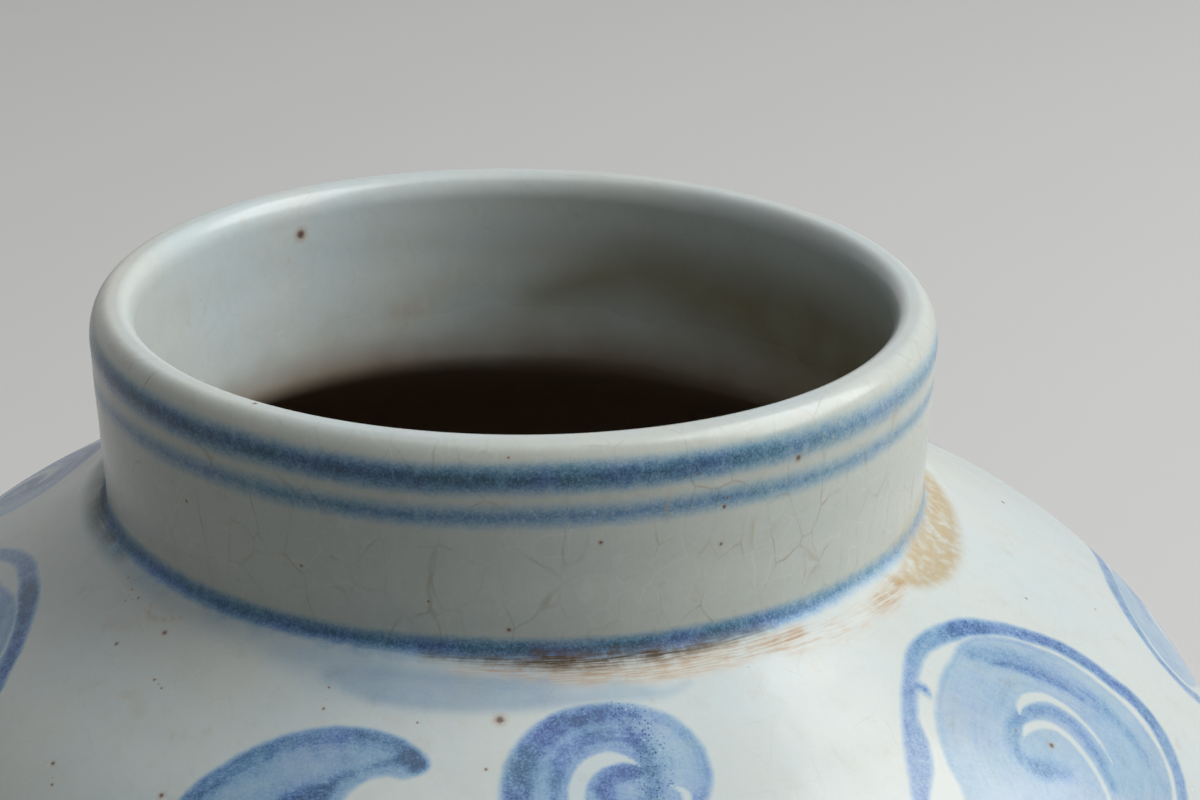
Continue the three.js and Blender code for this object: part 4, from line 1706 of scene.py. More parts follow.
@dataclass(frozen=True)
class Painting:
    """How much cobalt lies under the glaze: rings, outlines and washes, less the lines left white.

    Attributes:
        rings: The painted rings.
        ragged: The fine raggedness of an edge, in millimetres.
        wavering: Its slower wavering.
        grain: The grain of thick paint.
        mottle: Its mottling.
        cloudy: The slow change of a wash.
        streaked: The brush's streaks in it.
        wander: How a ring's middle wanders, in millimetres.
        ring_ragged: The raggedness of a ring's edge.
        swell: How a ring's width swells.
        bleeding: Where a ring's bleed, partly painted shade, runs.
        slow: How a ring's tone changes round the jar.
        line_edge: Where a line's edge starts and where it is full, in millimetres outside it.
        wash_edge: The same for a wash.
        white_edge: The same for a line left white.
        white_end: The same along it, where the line ends.
        white_depth: How much of the cobalt is missing there.
        pooling: Where cobalt pools along a wash's edge, and how much.
        combing: How often the brush's streaks come across a wash and down the jar, per millimetre.
        thickness: From which density to which the texture grows, and from which share to which.
        haze_depth: The strength of the haze, and how much less there is under a wash.
        heaps: How many heaped grains there are per millimetre, then the range and the least of their size.
        heap_edge: Where a grain's edge starts and is full, as a share of a grain's place.
        heap_tones: The chances at which grains turn from pale to dark, and what pale and dark ones add.
        shaded: Between which X a ring bleeds, towards the side in shade, in millimetres: partly painted
            shade.
        lit: Between which X it grows paler, towards the lit side: painted light.
    """

    rings: tuple[Ring, ...] = (
        # The neck's rings grow paler towards +X, the lit side, as painted light; the crease ring's bleed on
        # the side in shade is partly painted shade.
        Ring(-30.9, 3.0, 2.0, 1.42, 0.0, -0.62),
        Ring(-24.3, 2.0, 1.8, 0.84, 0.0, -0.4),
        Ring(-0.7, 2.0, 1.6, 1.45, 0.3, -0.64),
        Ring(157.0, 2.6, 1.2, 1.1, 0.0, 0.1),
        Ring(163.0, 2.2, 1.2, 0.8, 0.0, -0.1),
        Ring(262.0, 3.0, 1.2, 1.1, 0.0, 0.0),
    )
    ragged: Grain = Ripple(1.6, least=-0.22, most=0.22)
    wavering: Grain = Ripple(6, 2, least=-0.45, most=0.45)
    grain: Grain = Ripple(0.42, 2, 0.7, least=0.0, most=2.0)
    mottle: Grain = Ripple(1.9, 4, 0.62, least=0.2, most=1.8)
    cloudy: Grain = Ripple(9, least=0.6, most=1.4)
    streaked: Grain = Ripple(1.0, least=0.7, most=1.3)
    wander: Grain = Ripple(42, 1, least=-0.9, most=0.9)
    ring_ragged: Grain = Ripple(2.4, 4, 0.6, least=-0.3, most=0.3)
    swell: Grain = Ripple(19, 2, least=0.7, most=1.3)
    bleeding: Grain = Patches(11, low=0.3, high=0.7)
    slow: Grain = Ripple(48, 1, least=0.6, most=1.4)
    line_edge: Point = (0.85, -0.85)
    wash_edge: Point = (0.85, -0.7)
    white_edge: Point = (0.5, -0.5)
    white_end: Point = (0.55, 0.1)
    white_depth: float = 0.93
    pooling: tuple[float, float, float] = (-1.6, -0.3, 0.05)
    combing: Point = (1.5, 0.11)
    thickness: tuple[float, ...] = (0.1, 0.9, 0.35, 1.0)
    haze_depth: Point = (0.8, 0.8)
    heaps: tuple[float, float, float] = (2.1, 0.42, 0.02)
    heap_edge: Point = (0.12, -0.08)
    heap_tones: tuple[float, ...] = (0.28, 0.4, -0.6, 1.7)
    shaded: Point = (12, -40)
    lit: Point = (25, 64)

    def density(self, g: Graph, place: Socket, down: Socket) -> Socket:
        """The density of everything painted, at a place and a distance down the skin.

        Args:
            g: The material's graph.
            place: The place in millimetres.
            down: The distance down the skin.

        Returns:
            The density, 1 for a full line.
        """
        shift = g.add(g.noise(place, self.ragged), g.noise(place, self.wavering))
        line = g.step(g.add(g.read("line"), shift), *self.line_edge)
        wash = g.step(g.add(g.read("wash"), shift), *self.wash_edge)
        cloudy = g.noise(place, self.cloudy)
        across, downwards = self.combing
        combed = g.join(g.times(g.read("wash"), across), g.times(down, downwards))
        brushed = g.times(cloudy, g.noise(combed, self.streaked))
        *rim, more = self.pooling
        pooled = g.scaled(g.step(g.read("wash"), *rim), more, g.read("wash_tone"))
        wash_depth = g.times(g.times(g.add(pooled, g.read("deep")), wash), brushed)
        line_depth = g.times(g.times(g.add(g.read("line_tone"), g.read("deep")), line), brushed)
        strength, hidden = self.haze_depth
        haze = g.times(g.times(g.read("haze"), g.times(cloudy, strength)), g.scaled(wash, -hidden, 1.0))
        depth = g.greater(g.greater(wash_depth, line_depth), haze)
        texture = g.times(g.noise(place, self.mottle), g.noise(place, self.grain))
        depth = g.times(depth, g.blend_number(g.step(depth, *self.thickness), 1.0, texture))
        depth = g.times(depth, g.scaled(self.left_white(g, shift), -self.white_depth, 1.0))
        depth = g.add(depth, self.heaped(g, place, wash))
        return g.greater(depth, self.ringed(g, place, down, texture))

    def left_white(self, g: Graph, shift: Socket) -> Socket:
        """1 in the lines left white. Their edges are half as ragged as the paint's.

        Args:
            g: The material's graph.
            shift: The raggedness of the paint's edge.

        Returns:
            The share left white.
        """
        side, half, distance = g.split(g.read("reserve", "Vector"))
        across = g.less(g.math("ABSOLUTE", side), half)
        edge = g.step(g.add(across, g.times(shift, 0.5)), *self.white_edge)
        return g.times(edge, g.step(g.less(distance, half), *self.white_end))

    def heaped(self, g: Graph, place: Socket, wash: Socket) -> Socket:
        """Grains of cobalt that pushed through the glaze, dark ones and pale ones side by side.

        Args:
            g: The material's graph.
            place: The place in millimetres.
            wash: 1 in a wash.

        Returns:
            What the grains add to the density.
        """
        count, range_of_sizes, smallest = self.heaps
        cells = g.node("TexVoronoi", {"Vector": place, "Scale": count, "Randomness": 1.0})
        chance = g.node("SeparateColor", {0: cells.outputs["Color"]}).outputs
        size = g.scaled(chance[1], range_of_sizes, smallest)
        dot = g.step(g.less(cells.outputs["Distance"], size), *self.heap_edge)
        grain = g.times(dot, g.step(chance[0], *self.heap_tones))
        return g.times(g.times(grain, g.read("pile")), wash)

    def ringed(self, g: Graph, place: Socket, down: Socket, texture: Socket) -> Socket:
        """The density of the lines painted round the jar, which share one hand's unevenness.

        Args:
            g: The material's graph.
            place: The place in millimetres.
            down: The distance down the skin.
            texture: The texture of thick paint.

        Returns:
            The density of the strongest ring.
        """
        beside = g.split(place)[0]
        shared = {
            "Down": down,
            "Wander": g.noise(place, self.wander),
            "Ragged": g.noise(place, self.ring_ragged),
            "Swell": g.noise(place, self.swell),
            # Shaded and Lit put the rings' bleed on the side in shade and their paling on the lit side:
            # painted shade and painted light.
            "Shaded": g.times(g.step(beside, *self.shaded), g.noise(place, self.bleeding)),
            "Lit": g.step(beside, *self.lit),
        }
        depth = 0.0
        for ring in self.rings:
            painted = g.use(
                "painted_ring", **shared, Centre=ring.centre, Width=ring.width, Soft=ring.soft,
                Tone=ring.tone, Bleed=ring.bleed_and_shade, Fade=ring.fade,
            )[0]
            depth = g.greater(depth, painted)
        return g.times(g.times(depth, g.noise(place, self.slow)), texture)


@dataclass(frozen=True)
class Coat:
    """Something that lies on the glaze.

    Attributes:
        colour: Its colour.
        strength: How much it hides where it lies thickest.
    """

    colour: Colour
    strength: float

    def over(self, g: Graph, share: Socket, colour: Socket) -> Socket:
        """The colour with this coat laid over it, as thick as the share says."""
        return g.blend(g.times(share, self.strength), colour, self.colour)

    def fainter(self, strength: float) -> "Coat":
        """The same coat at another strength."""
        return Coat(self.colour, strength)


@dataclass(frozen=True)
class Soiling:
    """Stains, specks, and painted shade below the neck, on the inner wall and deep inside, laid over the
    painted glaze.

    Attributes:
        under_neck_shade: The grey darkening below the neck, laid where the haze lies: painted shade.
        worn: The pale ground of the rust.
        ochre: The pale, broad stains.
        rust: The orange-brown stains.
        soot: The dark stains in the crease.
        tan: The olive-brown on the inner face: tan stains and painted shade.
        deep_inside_shade: The dark brown deep inside, below the throat: painted shade where little light gets
            in.
        iron: The placed specks' cores.
        halo: The rust round them.
        strewn_halo: How much the strewn specks' halos hide.
        strewn_iron: How much their cores hide.
        dust_iron: How much the finest specks hide.
        iron_edge: Between how many radii from a placed speck's middle its core grows.
        halo_edge: The same for its halo.
        inside_darkening_span: Where the painted shade deep inside starts and where it is whole, in
            millimetres along the inner face.
        worn_span: From which value of the patches to which the pale ground appears.
        ochre_span: The same for ochre, over patches and upright streaks.
        rust_span: The same for rust, over patches and level streaks.
        soot_span: The same for soot.
        ochre_mix: How much of both the patches and the streaks counts for ochre.
        rust_mix: How much of the patches counts beside the streaks for rust.
        soot_mix: How much of both counts for soot.
        grime_share: How much of the rust and soot counts as grime.
        streaks: The level streaks of rust and soot.
        levelled: What lengths across and down are multiplied by for them.
        fallen: The upright streaks of ochre.
        drawn_down: What lengths down are multiplied by for them.
        patches: The patches of all stains.
        tan_and_shade_patches: The unevenness of the stains and painted shade inside.
        inside_darkening_edge: How the edge of the painted shade deep inside wanders, in millimetres.
        speck_edge: How a placed speck's outline wavers.
        strewn: The few strewn specks.
        dust: The finest ones.
    """

    under_neck_shade: Coat = Coat((0.2, 0.215, 0.19, 1), 0.6)
    worn: Coat = Coat((0.80, 0.78, 0.72, 1), 0.5)
    ochre: Coat = Coat((0.52, 0.41, 0.235, 1), 0.78)
    rust: Coat = Coat((0.5, 0.315, 0.175, 1), 0.7)
    soot: Coat = Coat((0.1, 0.073, 0.046, 1), 0.86)
    tan: Coat = Coat((0.30, 0.255, 0.135, 1), 0.9)
    deep_inside_shade: Coat = Coat((0.25, 0.17, 0.105, 1), 0.95)
    iron: Coat = Coat((0.085, 0.04, 0.025, 1), 0.84)
    halo: Coat = Coat((0.45, 0.23, 0.09, 1), 0.42)
    strewn_halo: float = 0.25
    strewn_iron: float = 0.8
    dust_iron: float = 0.45
    iron_edge: Point = (1.2, 0.3)
    halo_edge: Point = (2.3, 0.6)
    inside_darkening_span: Point = (-66, -86)
    worn_span: Point = (0.3, 0.62)
    ochre_span: Point = (0.3, 0.72)
    rust_span: Point = (0.64, 0.94)
    soot_span: Point = (0.42, 0.88)
    ochre_mix: float = 0.6
    rust_mix: float = 0.5
    soot_mix: float = 0.7
    grime_share: float = 0.4
    streaks: Grain = Grain(0.9, 4, 0.65)
    levelled: Point = (0.12, 2.6)
    fallen: Grain = Grain(1.7, 3, 0.6)
    drawn_down: float = 0.25
    patches: Grain = Grain(4.4, 5, 0.6)
    tan_and_shade_patches: Grain = Patches(17, low=0.3, high=0.7, weak=0.8)
    inside_darkening_edge: Grain = Ripple(22, least=-6.0, most=6.0)
    speck_edge: Grain = Ripple(0.5, 2, least=0.65, most=1.35)
    strewn: Specks = Specks(16.0, 0.36, 0.25)
    dust: Specks = Specks(4.6, 0.15, 0.3)

    def laid(self, g: Graph, place: Socket, down: Socket, colour: Socket) -> tuple[Socket, Socket]:
        """Lays the soiling over a colour.

        Args:
            g: The material's graph.
            place: The place in millimetres.
            down: The distance down the skin.
            colour: The painted glaze.

        Returns:
            The soiled colour, and how much grime and painted shade deep inside dull the surface.
        """
        x, y, _ = g.split(place)
        across, downwards = self.levelled
        level = g.join(g.times(x, across), g.times(y, across), g.times(down, downwards))
        streaks = g.noise(level, self.streaks)
        fallen = g.noise(g.join(x, y, g.times(down, self.drawn_down)), self.fallen)
        patches = g.noise(place, self.patches)
        broken = g.scaled(patches, self.ochre_mix, g.times(fallen, self.ochre_mix))
        rusty = g.scaled(patches, self.rust_mix, streaks)
        sooty = g.scaled(patches, self.soot_mix, g.times(streaks, self.soot_mix))
        worn = g.times(g.read("rust"), g.step(patches, *self.worn_span))
        ochre = g.times(g.read("ochre"), g.step(broken, *self.ochre_span))
        rust = g.times(g.read("rust"), g.step(rusty, *self.rust_span))
        soot = g.times(g.read("soot"), g.step(sooty, *self.soot_span))
        # tan: tan stains and painted shade on the inner wall turned from the light.
        tan = g.times(g.read("inner_stain_and_shade"), g.noise(place, self.tan_and_shade_patches))
        # smoky lays a grey painted shade below the neck, where the haze lies.
        for share, coat in (
            (g.read("haze"), self.under_neck_shade), (worn, self.worn), (ochre, self.ochre),
            (rust, self.rust), (soot, self.soot), (tan, self.tan),
        ):
            colour = coat.over(g, share, colour)
        colour = self.specked(g, place, colour)
        # The dark brown deep inside, below the throat, is painted shade, where little light gets in.
        inside_darkening = g.step(g.add(down, g.noise(place, self.inside_darkening_edge)), *self.inside_darkening_span)
        grime_and_shade = g.math("ADD", g.times(g.add(rust, soot), self.grime_share), inside_darkening, clamp=True)
        return self.deep_inside_shade.over(g, inside_darkening, colour), grime_and_shade

    def specked(self, g: Graph, place: Socket, colour: Socket) -> Socket:
        """Adds iron specks: the placed ones, a few strewn ones and a fine dust.

        Args:
            g: The material's graph.
            place: The place in millimetres.
            colour: The stained glaze.

        Returns:
            The glaze with its specks.
        """
        beside, below, radius = g.split(g.read("speck", "Vector"))
        reach = g.times(g.length(g.join(beside, below)), g.noise(place, self.speck_edge))
        radii_away = g.over(reach, radius)
        strewn, dust = self.strewn.strewn(g, place), self.dust.strewn(g, place)
        for share, coat in (
            (g.step(radii_away, *self.halo_edge), self.halo),
            (g.step(radii_away, *self.iron_edge), self.iron),
            (strewn["Halo"], self.halo.fainter(self.strewn_halo)),
            (strewn["Core"], self.iron.fainter(self.strewn_iron)),
            (dust["Core"], self.iron.fainter(self.dust_iron)),
        ):
            colour = coat.over(g, share, colour)
        return colour


@dataclass(frozen=True)
class GlazeFinish:
    """Glossy greyish-white glaze over cobalt painting, with crackle, specks and stains.

    Attributes:
        name: The material's name.
        bare: The glaze's own colour.
        painting: The cobalt under it.
        soiling: What lies on it, and the painted shade laid with it.
        neck_top: Where the lip ends and the neck begins, in millimetres down from the neck's corner.
        neck_foot: Where the neck ends and the shoulder begins.
        neck_tint: What is added to the cobalt's tint on the neck.
        tinted: How the cobalt's tint changes over the jar.
        ior: The glaze's index of refraction.
        roughened: The roughness, a little duller in patches.
        crease: The crease's middle, then where its dullness ends and is whole, in millimetres.
        crease_dullness: The roughness added there.
        grime_and_shade_dullness: The roughness added where grime, or the painted shade deep inside, lies
            thickest.
        peel: The height of the faint orange peel, in millimetres.
        swelling: The height of its slow swellings.
        pinholes: The pinholes in it.
        pinhole_depth: Their depth in millimetres.
        relief_shown: How much of the relief shows.
    """

    name: str = "glaze_over_cobalt"
    bare: BareGlaze = BareGlaze()
    painting: Painting = Painting()
    soiling: Soiling = Soiling()
    neck_top: Point = (-39, -35)
    neck_foot: Point = (1, -2)
    neck_tint: float = -0.65
    tinted: Grain = Patches(12, 2, low=0.36, high=0.64)
    ior: float = 1.52
    roughened: Grain = Ripple(7, least=0.17, most=0.31)
    crease: tuple[float, float, float] = (1.5, 5.0, 1.5)
    crease_dullness: float = 0.32
    grime_and_shade_dullness: float = 0.7
    peel: Grain = Ripple(3.2, 2, most=0.05)
    swelling: Grain = Ripple(14, 2, most=0.16)
    pinholes: Specks = Specks(6.0, 0.2, 0.25)
    pinhole_depth: float = 0.05
    relief_shown: float = 0.9

    def build(self) -> bpy.types.Material:
        """Builds the material: the bare glaze times the cobalt's transmittance, soiled.

        Returns:
            The material.
        """
        material = bpy.data.materials.new(self.name)
        g = Graph.of(material)
        place, down = g.place(), g.read("down")
        neck = g.times(g.step(down, *self.neck_top), g.step(down, *self.neck_foot))
        tint = g.scaled(neck, self.neck_tint, g.noise(place, self.tinted))
        cobalt = g.use("cobalt", Density=self.painting.density(g, place, down), Tint=tint)[0]
        painted = g.node(
            "Mix", {0: 1.0, 6: self.bare.colour(g, place, neck), 7: cobalt},
            data_type="RGBA", blend_type="MULTIPLY",
        ).outputs[2]
        # The soiling lays stains and specks, and painted shade below the neck, on the inner wall and deep
        # inside.
        colour, grime_and_shade = self.soiling.laid(g, place, down, painted)
        shader = g.node("BsdfPrincipled", {
            "Base Color": colour,
            "Roughness": self.roughness(g, place, down, grime_and_shade),
            "Normal": self.relief(g, place),
        })
        shader.inputs["IOR"].default_value = self.ior
        g.finish("Material", shader.outputs[0])
        return material

    def roughness(self, g: Graph, place: Socket, down: Socket, grime_and_shade: Socket) -> Socket:
        """Glossy, a little duller in patches, and dull in the crease and where grime or the painted shade
        deep inside lies.

        Args:
            g: The material's graph.
            place: The place in millimetres.
            down: The distance down the skin.
            grime_and_shade: How much grime, or painted shade deep inside, lies there.

        Returns:
            The roughness.
        """
        middle, ends, whole = self.crease
        beside = g.math("ABSOLUTE", g.add(down, -middle))
        crease = g.step(beside, ends, whole, 0.0, self.crease_dullness)
        under = g.add(g.noise(place, self.roughened), crease)
        return g.scaled(grime_and_shade, self.grime_and_shade_dullness, under, clamp=True)

    def relief(self, g: Graph, place: Socket) -> Socket:
        """The glaze's faint orange peel and pinholes as a normal.

        Args:
            g: The material's graph.
            place: The place in millimetres.

        Returns:
            The normal.
        """
        pits = self.pinholes.strewn(g, place)["Core"]
        even = g.add(g.noise(place, self.peel), g.noise(place, self.swelling))
        return g.bump(g.add(even, g.times(pits, -self.pinhole_depth)), self.relief_shown)


@dataclass(frozen=True)
class ClayFinish:
    """Bare fired clay, with grog, grit and tan flashing.

    Attributes:
        name: The material's name.
        pale: The clay's main colour.
        flashed: Its colour where the kiln's fire touched it.
        flashing: How much of it is flashed.
        grit: How much sand sticks to it.
        grog: The colour of the sand.
        flash_span: The noise at which flashing starts, how much sooner if all is flashed, and its end.
        turning: The scale, distortion and detail of the rings that turning leaves.
        ring_shade: How bright the rings are beside the clay.
        ring_strength: How much they show.
        sand: How far apart the sand's grains lie and the largest ones' radius, in millimetres.
        sand_strength: How much the sand hides.
        sand_height: How far it stands out, in millimetres.
        roughened: The roughness.
        coarse: The height of the clay's own grain, in millimetres.
        relief_shown: How much of the relief shows.
    """

    name: str
    pale: Colour
    flashed: Colour
    flashing: float
    grit: float
    grog: Colour = (0.16, 0.11, 0.08, 1)
    flash_span: tuple[float, float, float] = (0.7, 0.5, 0.8)
    turning: tuple[float, float, float] = (0.55, 2.5, 2.0)
    ring_shade: float = 0.7
    ring_strength: float = 0.18
    sand: Point = (2.6, 0.3)
    sand_strength: float = 0.7
    sand_height: float = 0.15
    roughened: Grain = Ripple(2, least=0.68, most=0.88)
    coarse: Grain = Ripple(0.8, 4, most=0.12)
    relief_shown: float = 0.8

    def build(self) -> bpy.types.Material:
        """Builds the material.

        Returns:
            The material.
        """
        material = bpy.data.materials.new(self.name)
        g = Graph.of(material)
        place = g.place()
        start, sooner, end = self.flash_span
        flashed = Patches(9, 4, low=start - self.flashing * sooner, high=end)
        colour = g.blend(g.noise(place, flashed), self.pale, self.flashed)
        scale, distortion, detail = self.turning
        rings = g.node("TexWave", {
            "Vector": place, "Scale": scale, "Distortion": distortion, "Detail": detail,
        }, wave_type="RINGS", rings_direction="Z").outputs[1]
        colour = Coat(darker(self.pale, self.ring_shade), self.ring_strength).over(g, rings, colour)
        sand = Specks(*self.sand, self.grit).strewn(g, place)["Core"]
        colour = Coat(self.grog, self.sand_strength).over(g, sand, colour)
        height = g.add(g.noise(place, self.coarse), g.times(sand, self.sand_height))
        shader = g.node("BsdfPrincipled", {
            "Base Color": colour,
            "Roughness": g.noise(place, self.roughened),
            "Normal": g.bump(height, self.relief_shown),
        })
        g.finish("Material", shader.outputs[0])
        return material


@dataclass
class Jar:
    """Everything that the jar's sections share.

    Attributes:
        outline: The sizes.
        outer: The outer face.
        inner: The inner face.
        hand: The unevenness.
        wheel: The angles.
        brushwork: The painting.
        materials: The finishes' materials, in the order of Finish.
    """

    outline: Outline
    outer: Face
    inner: Face
    hand: HandThrown
    wheel: Wheel
    brushwork: Brushwork
    materials: list[bpy.types.Material] = field(default_factory=list)

    @classmethod
    def from_frame(cls) -> "Jar":
        """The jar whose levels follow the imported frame.

        Returns:
            The jar, without its materials.
        """
        outline = Outline.from_frame()
        outer = outline.outer()
        inner = outline.inner(float(outer.run[0]))
        hand = HandThrown(outline.belly_height, outline.corner_height)
        return cls(outline, outer, inner, hand, Wheel(), Brushwork())


# The columns of a row of points.
RADIUS, HEIGHT, ACROSS, UP, RUN = range(5)


@dataclass(frozen=True)
class Bands:
    """The bands of faces between the rows of a section's outline.

    Attributes:
        first: Where each band starts: radius, height, both parts of the normal, and run.
        last: Where it ends.
        finish: The number of its finish.
        closed: Whether the last row joins the first.
    """

    first: Array
    last: Array
    finish: Array
    closed: bool

    @classmethod
    def along(cls, strips: list[Strip]) -> "Bands":
        """The bands of a chain of strips."""
        rows = [np.stack([s.radius, s.height, s.across, s.up, s.run], -1) for s in strips]
        return cls(
            np.concatenate([part[:-1] for part in rows]),
            np.concatenate([part[1:] for part in rows]),
            np.repeat([strip.finish.value for strip in strips], [len(part) - 1 for part in rows]),
            np.allclose(strips[0].start, strips[-1].end, atol=SAME_PLACE),
        )

    def rows(self) -> Array:
        """The rows between the bands, each once."""
        return self.first.copy() if self.closed else np.concatenate([self.first, self.last[-1:]])


@dataclass
class Section:
    """One section of the jar: a closed outline of strips, carried round the axis.

    Attributes:
        node: The CAD node that it stands for.
        slot: Its material slot in the record. It is not used.
        spacing: The longest step along its outer face.
        inner_spacing: The longest step along its inner face.
        AXIS: Rows closer to the axis than this are one point.
    """

    node: str
    slot: Slot
    spacing: float = 0.8 * MM
    inner_spacing: float = 4 * MM

    AXIS = 1e-6

    def strips(self, jar: Jar) -> list[Strip]:
        """The outline, down the outside and up the inside."""
        raise NotImplementedError

    def outside(self, jar: Jar, top: float | None, bottom: float | None) -> Strip:
        """The glazed outer face from one level down to another. None stands for the face's own end.

        Args:
            jar: What the sections share.
            top: The upper level.
            bottom: The lower level.

        Returns:
            The strip, from the top down.
        """
        face = jar.outer
        start = face.run[0] if top is None else face.run_at(top)
        end = face.run[-1] if bottom is None else face.run_at(bottom)
        return Strip.of(face, start, end, self.spacing, Finish.GLAZE)

    def inside(self, jar: Jar, bottom: float | None, top: float | None) -> Strip:
        """The glazed inner face from one level up to another. None stands for the face's own end.

        Args:
            jar: What the sections share.
            bottom: The lower level.
            top: The upper level.

        Returns:
            The strip, from the bottom up.
        """
        face = jar.inner
        start = face.run[-1] if bottom is None else face.run_at(bottom)
        end = face.run[0] if top is None else face.run_at(top)
        return Strip.of(face, start, end, self.inner_spacing, Finish.GLAZE)

    def build(self, jar: Jar) -> bpy.types.Object:
        """Builds the section's mesh, paints and dresses it, and puts it on the frame.

        The outline's rows are repeated at each angle: x and y are the radius times the angle's sine and
        minus cosine. A row on the axis is one point. Each face between two rows takes the normals of
        its own strip, so a joint's edge stays sharp.

        Args:
            jar: What the sections share.

        Returns:
            The section's object.
        """
        strips = self.strips(jar)
        bands, angles = Bands.along(strips), jar.wheel.angles()
        rows = bands.rows()
        self.keep_glazed_runs(strips, rows)
        points, index = self.carry_round(rows, angles)
        mesh = bpy.data.meshes.new(self.node)
        self.fill(mesh, jar, points, index, bands, angles)
        self.paint(mesh, jar, rows, index, angles, len(points))
        piece = bpy.data.objects.new(self.node + "_dressed", mesh)
        bpy.context.scene.collection.objects.link(piece)
        for material in jar.materials:
            mesh.materials.append(material)
        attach(piece, "root")
        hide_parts(self.node)
        return piece

    @staticmethod
    def keep_glazed_runs(strips: list[Strip], rows: Array) -> None:
        """Gives the row where a glazed strip meets a joint the glazed strip's run, so its paint is right."""
        ends = np.cumsum([len(strip.run) - 1 for strip in strips])
        for strip, after, end in zip(strips, strips[1:] + strips[:1], ends):
            if strip.finish is Finish.GLAZE and after.finish is not Finish.GLAZE:
                rows[end % len(rows), RUN] = strip.run[-1]

    @classmethod
    def carry_round(cls, rows: Array, angles: Array) -> tuple[Array, Array]:
        """Places each row's points round the axis.

        Args:
            rows: Rows of radius, height and more.
            angles: The angles of the columns.

        Returns:
            The points, and each row's and column's index among them.
        """
        on_axis = rows[:, RADIUS] < cls.AXIS
        count = np.where(on_axis, 1, len(angles))
        start = np.concatenate([[0], np.cumsum(count)[:-1]])
        index = start[:, None] + np.where(on_axis[:, None], 0, np.arange(len(angles))[None])
        points = np.empty((count.sum(), 3))
        around = np.stack([np.sin(angles), -np.cos(angles)], -1)
        radius, height = rows[:, RADIUS, None, None], rows[:, HEIGHT, None, None]
        flat = np.concatenate([radius * around, np.broadcast_to(height, (len(rows), len(angles), 1))], -1)
        points[index.ravel()] = flat.reshape(-1, 3)
        return points, index

    @staticmethod
    def fill(
        mesh: bpy.types.Mesh, jar: Jar, points: Array, index: Array, bands: Bands, angles: Array,
    ) -> None:
        """Puts points, faces, finishes and normals into the mesh.

        Args:
            mesh: The mesh to fill.
            jar: What the sections share.
            points: The points of the true outline, before the hand's bend.
            index: Each row's and column's point.
            bands: The bands of faces.
            angles: The angles of the columns.
        """
        upper = np.arange(len(bands.first))
        lower = (upper + 1) % len(index) if bands.closed else upper + 1
        column = np.arange(len(angles))
        ahead = (column + 1) % len(angles)
        corners = np.stack([
            index[upper][:, column], index[lower][:, column], index[lower][:, ahead], index[upper][:, ahead],
        ], -1)
        around = np.stack([np.sin(angles), -np.cos(angles), np.zeros(len(angles))], -1)

        def spread(part: Array) -> Array:
            """The rows' normals at each angle."""
            normal = part[:, ACROSS, None, None] * around
            normal[..., 2] = part[:, UP, None]
            return normal

        top, bottom = spread(bands.first), spread(bands.last)
        normals = np.stack([top[:, column], bottom[:, column], bottom[:, ahead], top[:, ahead]], 2)
        keep = np.ones(corners.shape, bool)
        keep[:, :, 3] = corners[:, :, 3] != corners[:, :, 0]
        keep[:, :, 2] = corners[:, :, 2] != corners[:, :, 1]
        loops = corners[keep]
        sizes = keep.sum(-1).ravel()
        mesh.vertices.add(len(points))
        mesh.vertices.foreach_set("co", jar.hand.bend(points).astype(np.float32).ravel())
        mesh.loops.add(len(loops))
        mesh.loops.foreach_set("vertex_index", loops.astype(np.int32))
        mesh.polygons.add(len(sizes))
        mesh.polygons.foreach_set("loop_start", (np.cumsum(sizes) - sizes).astype(np.int32))
        mesh.polygons.foreach_set("loop_total", sizes.astype(np.int32))
        mesh.polygons.foreach_set("material_index", np.repeat(bands.finish, len(angles)).astype(np.int32))
        mesh.polygons.foreach_set("use_smooth", np.ones(len(sizes), bool))
        mesh.update(calc_edges=True)
        mesh.validate()
        mesh.normals_split_custom_set(jar.hand.turn(points[loops], normals[keep]))

    @staticmethod
    def paint(mesh: bpy.types.Mesh, jar: Jar, rows: Array, index: Array, angles: Array, count: int) -> None:
        """Writes the run down the skin and the layers of paint to the mesh, one value for each point.

        Args:
            mesh: The mesh.
            jar: What the sections share.
            rows: Rows of radius, height, normal and run.
            index: Each row's and column's point.
            angles: The angles of the columns.
            count: The number of points.
        """
        def written(name: str, kind: str, part: str, values: Array) -> None:
            """Writes one attribute."""
            mesh.attributes.new(name, kind, "POINT").data.foreach_set(part, values.astype(np.float32).ravel())

        def placed(values: Array) -> Array:
            """Values by row and column as values by point."""
            each = np.zeros(count)
            each[index.ravel()] = values
            return each

        run = placed(np.repeat(rows[:, RUN] / MM, len(angles)))
        degrees = placed(np.tile(np.degrees(angles), len(rows)))
        radius = placed(np.repeat(rows[:, RADIUS] / MM, len(angles)))
        canvas = Canvas(degrees, run, radius)
        jar.brushwork.paint(canvas)
        written("down", "FLOAT", "value", run)
        for name, values in canvas.layers.items():
            written(name, "FLOAT", "value", values)
        written("reserve", "FLOAT_VECTOR", "vector", canvas.reserve)
        written("speck", "FLOAT_VECTOR", "vector", canvas.speck)


@dataclass
class NeckCollar(Section):
    """The collar: lip, neck and rounded crease, with the tongue that sits in the shoulder's step."""

    def strips(self, jar: Jar) -> list[Strip]:
        """Outside from the lip to the seat, the stepped joint, and the bore back up to the lip.

        Args:
            jar: What the sections share.

        Returns:
            The strips, each starting where the one before ends.
        """
        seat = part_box("neck_slip")[1][2]
        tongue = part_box("neck_collar")[0][2]
        outside, inside = self.outside(jar, None, seat), self.inside(jar, tongue, None)
        edge = outside.end[0] - jar.outline.seat_width
        run = (outside.run[-1], inside.run[0])
        stepped = [outside.end, (edge, seat), (edge, tongue), inside.start]
        return [outside, *Strip.chain(stepped, run), inside]


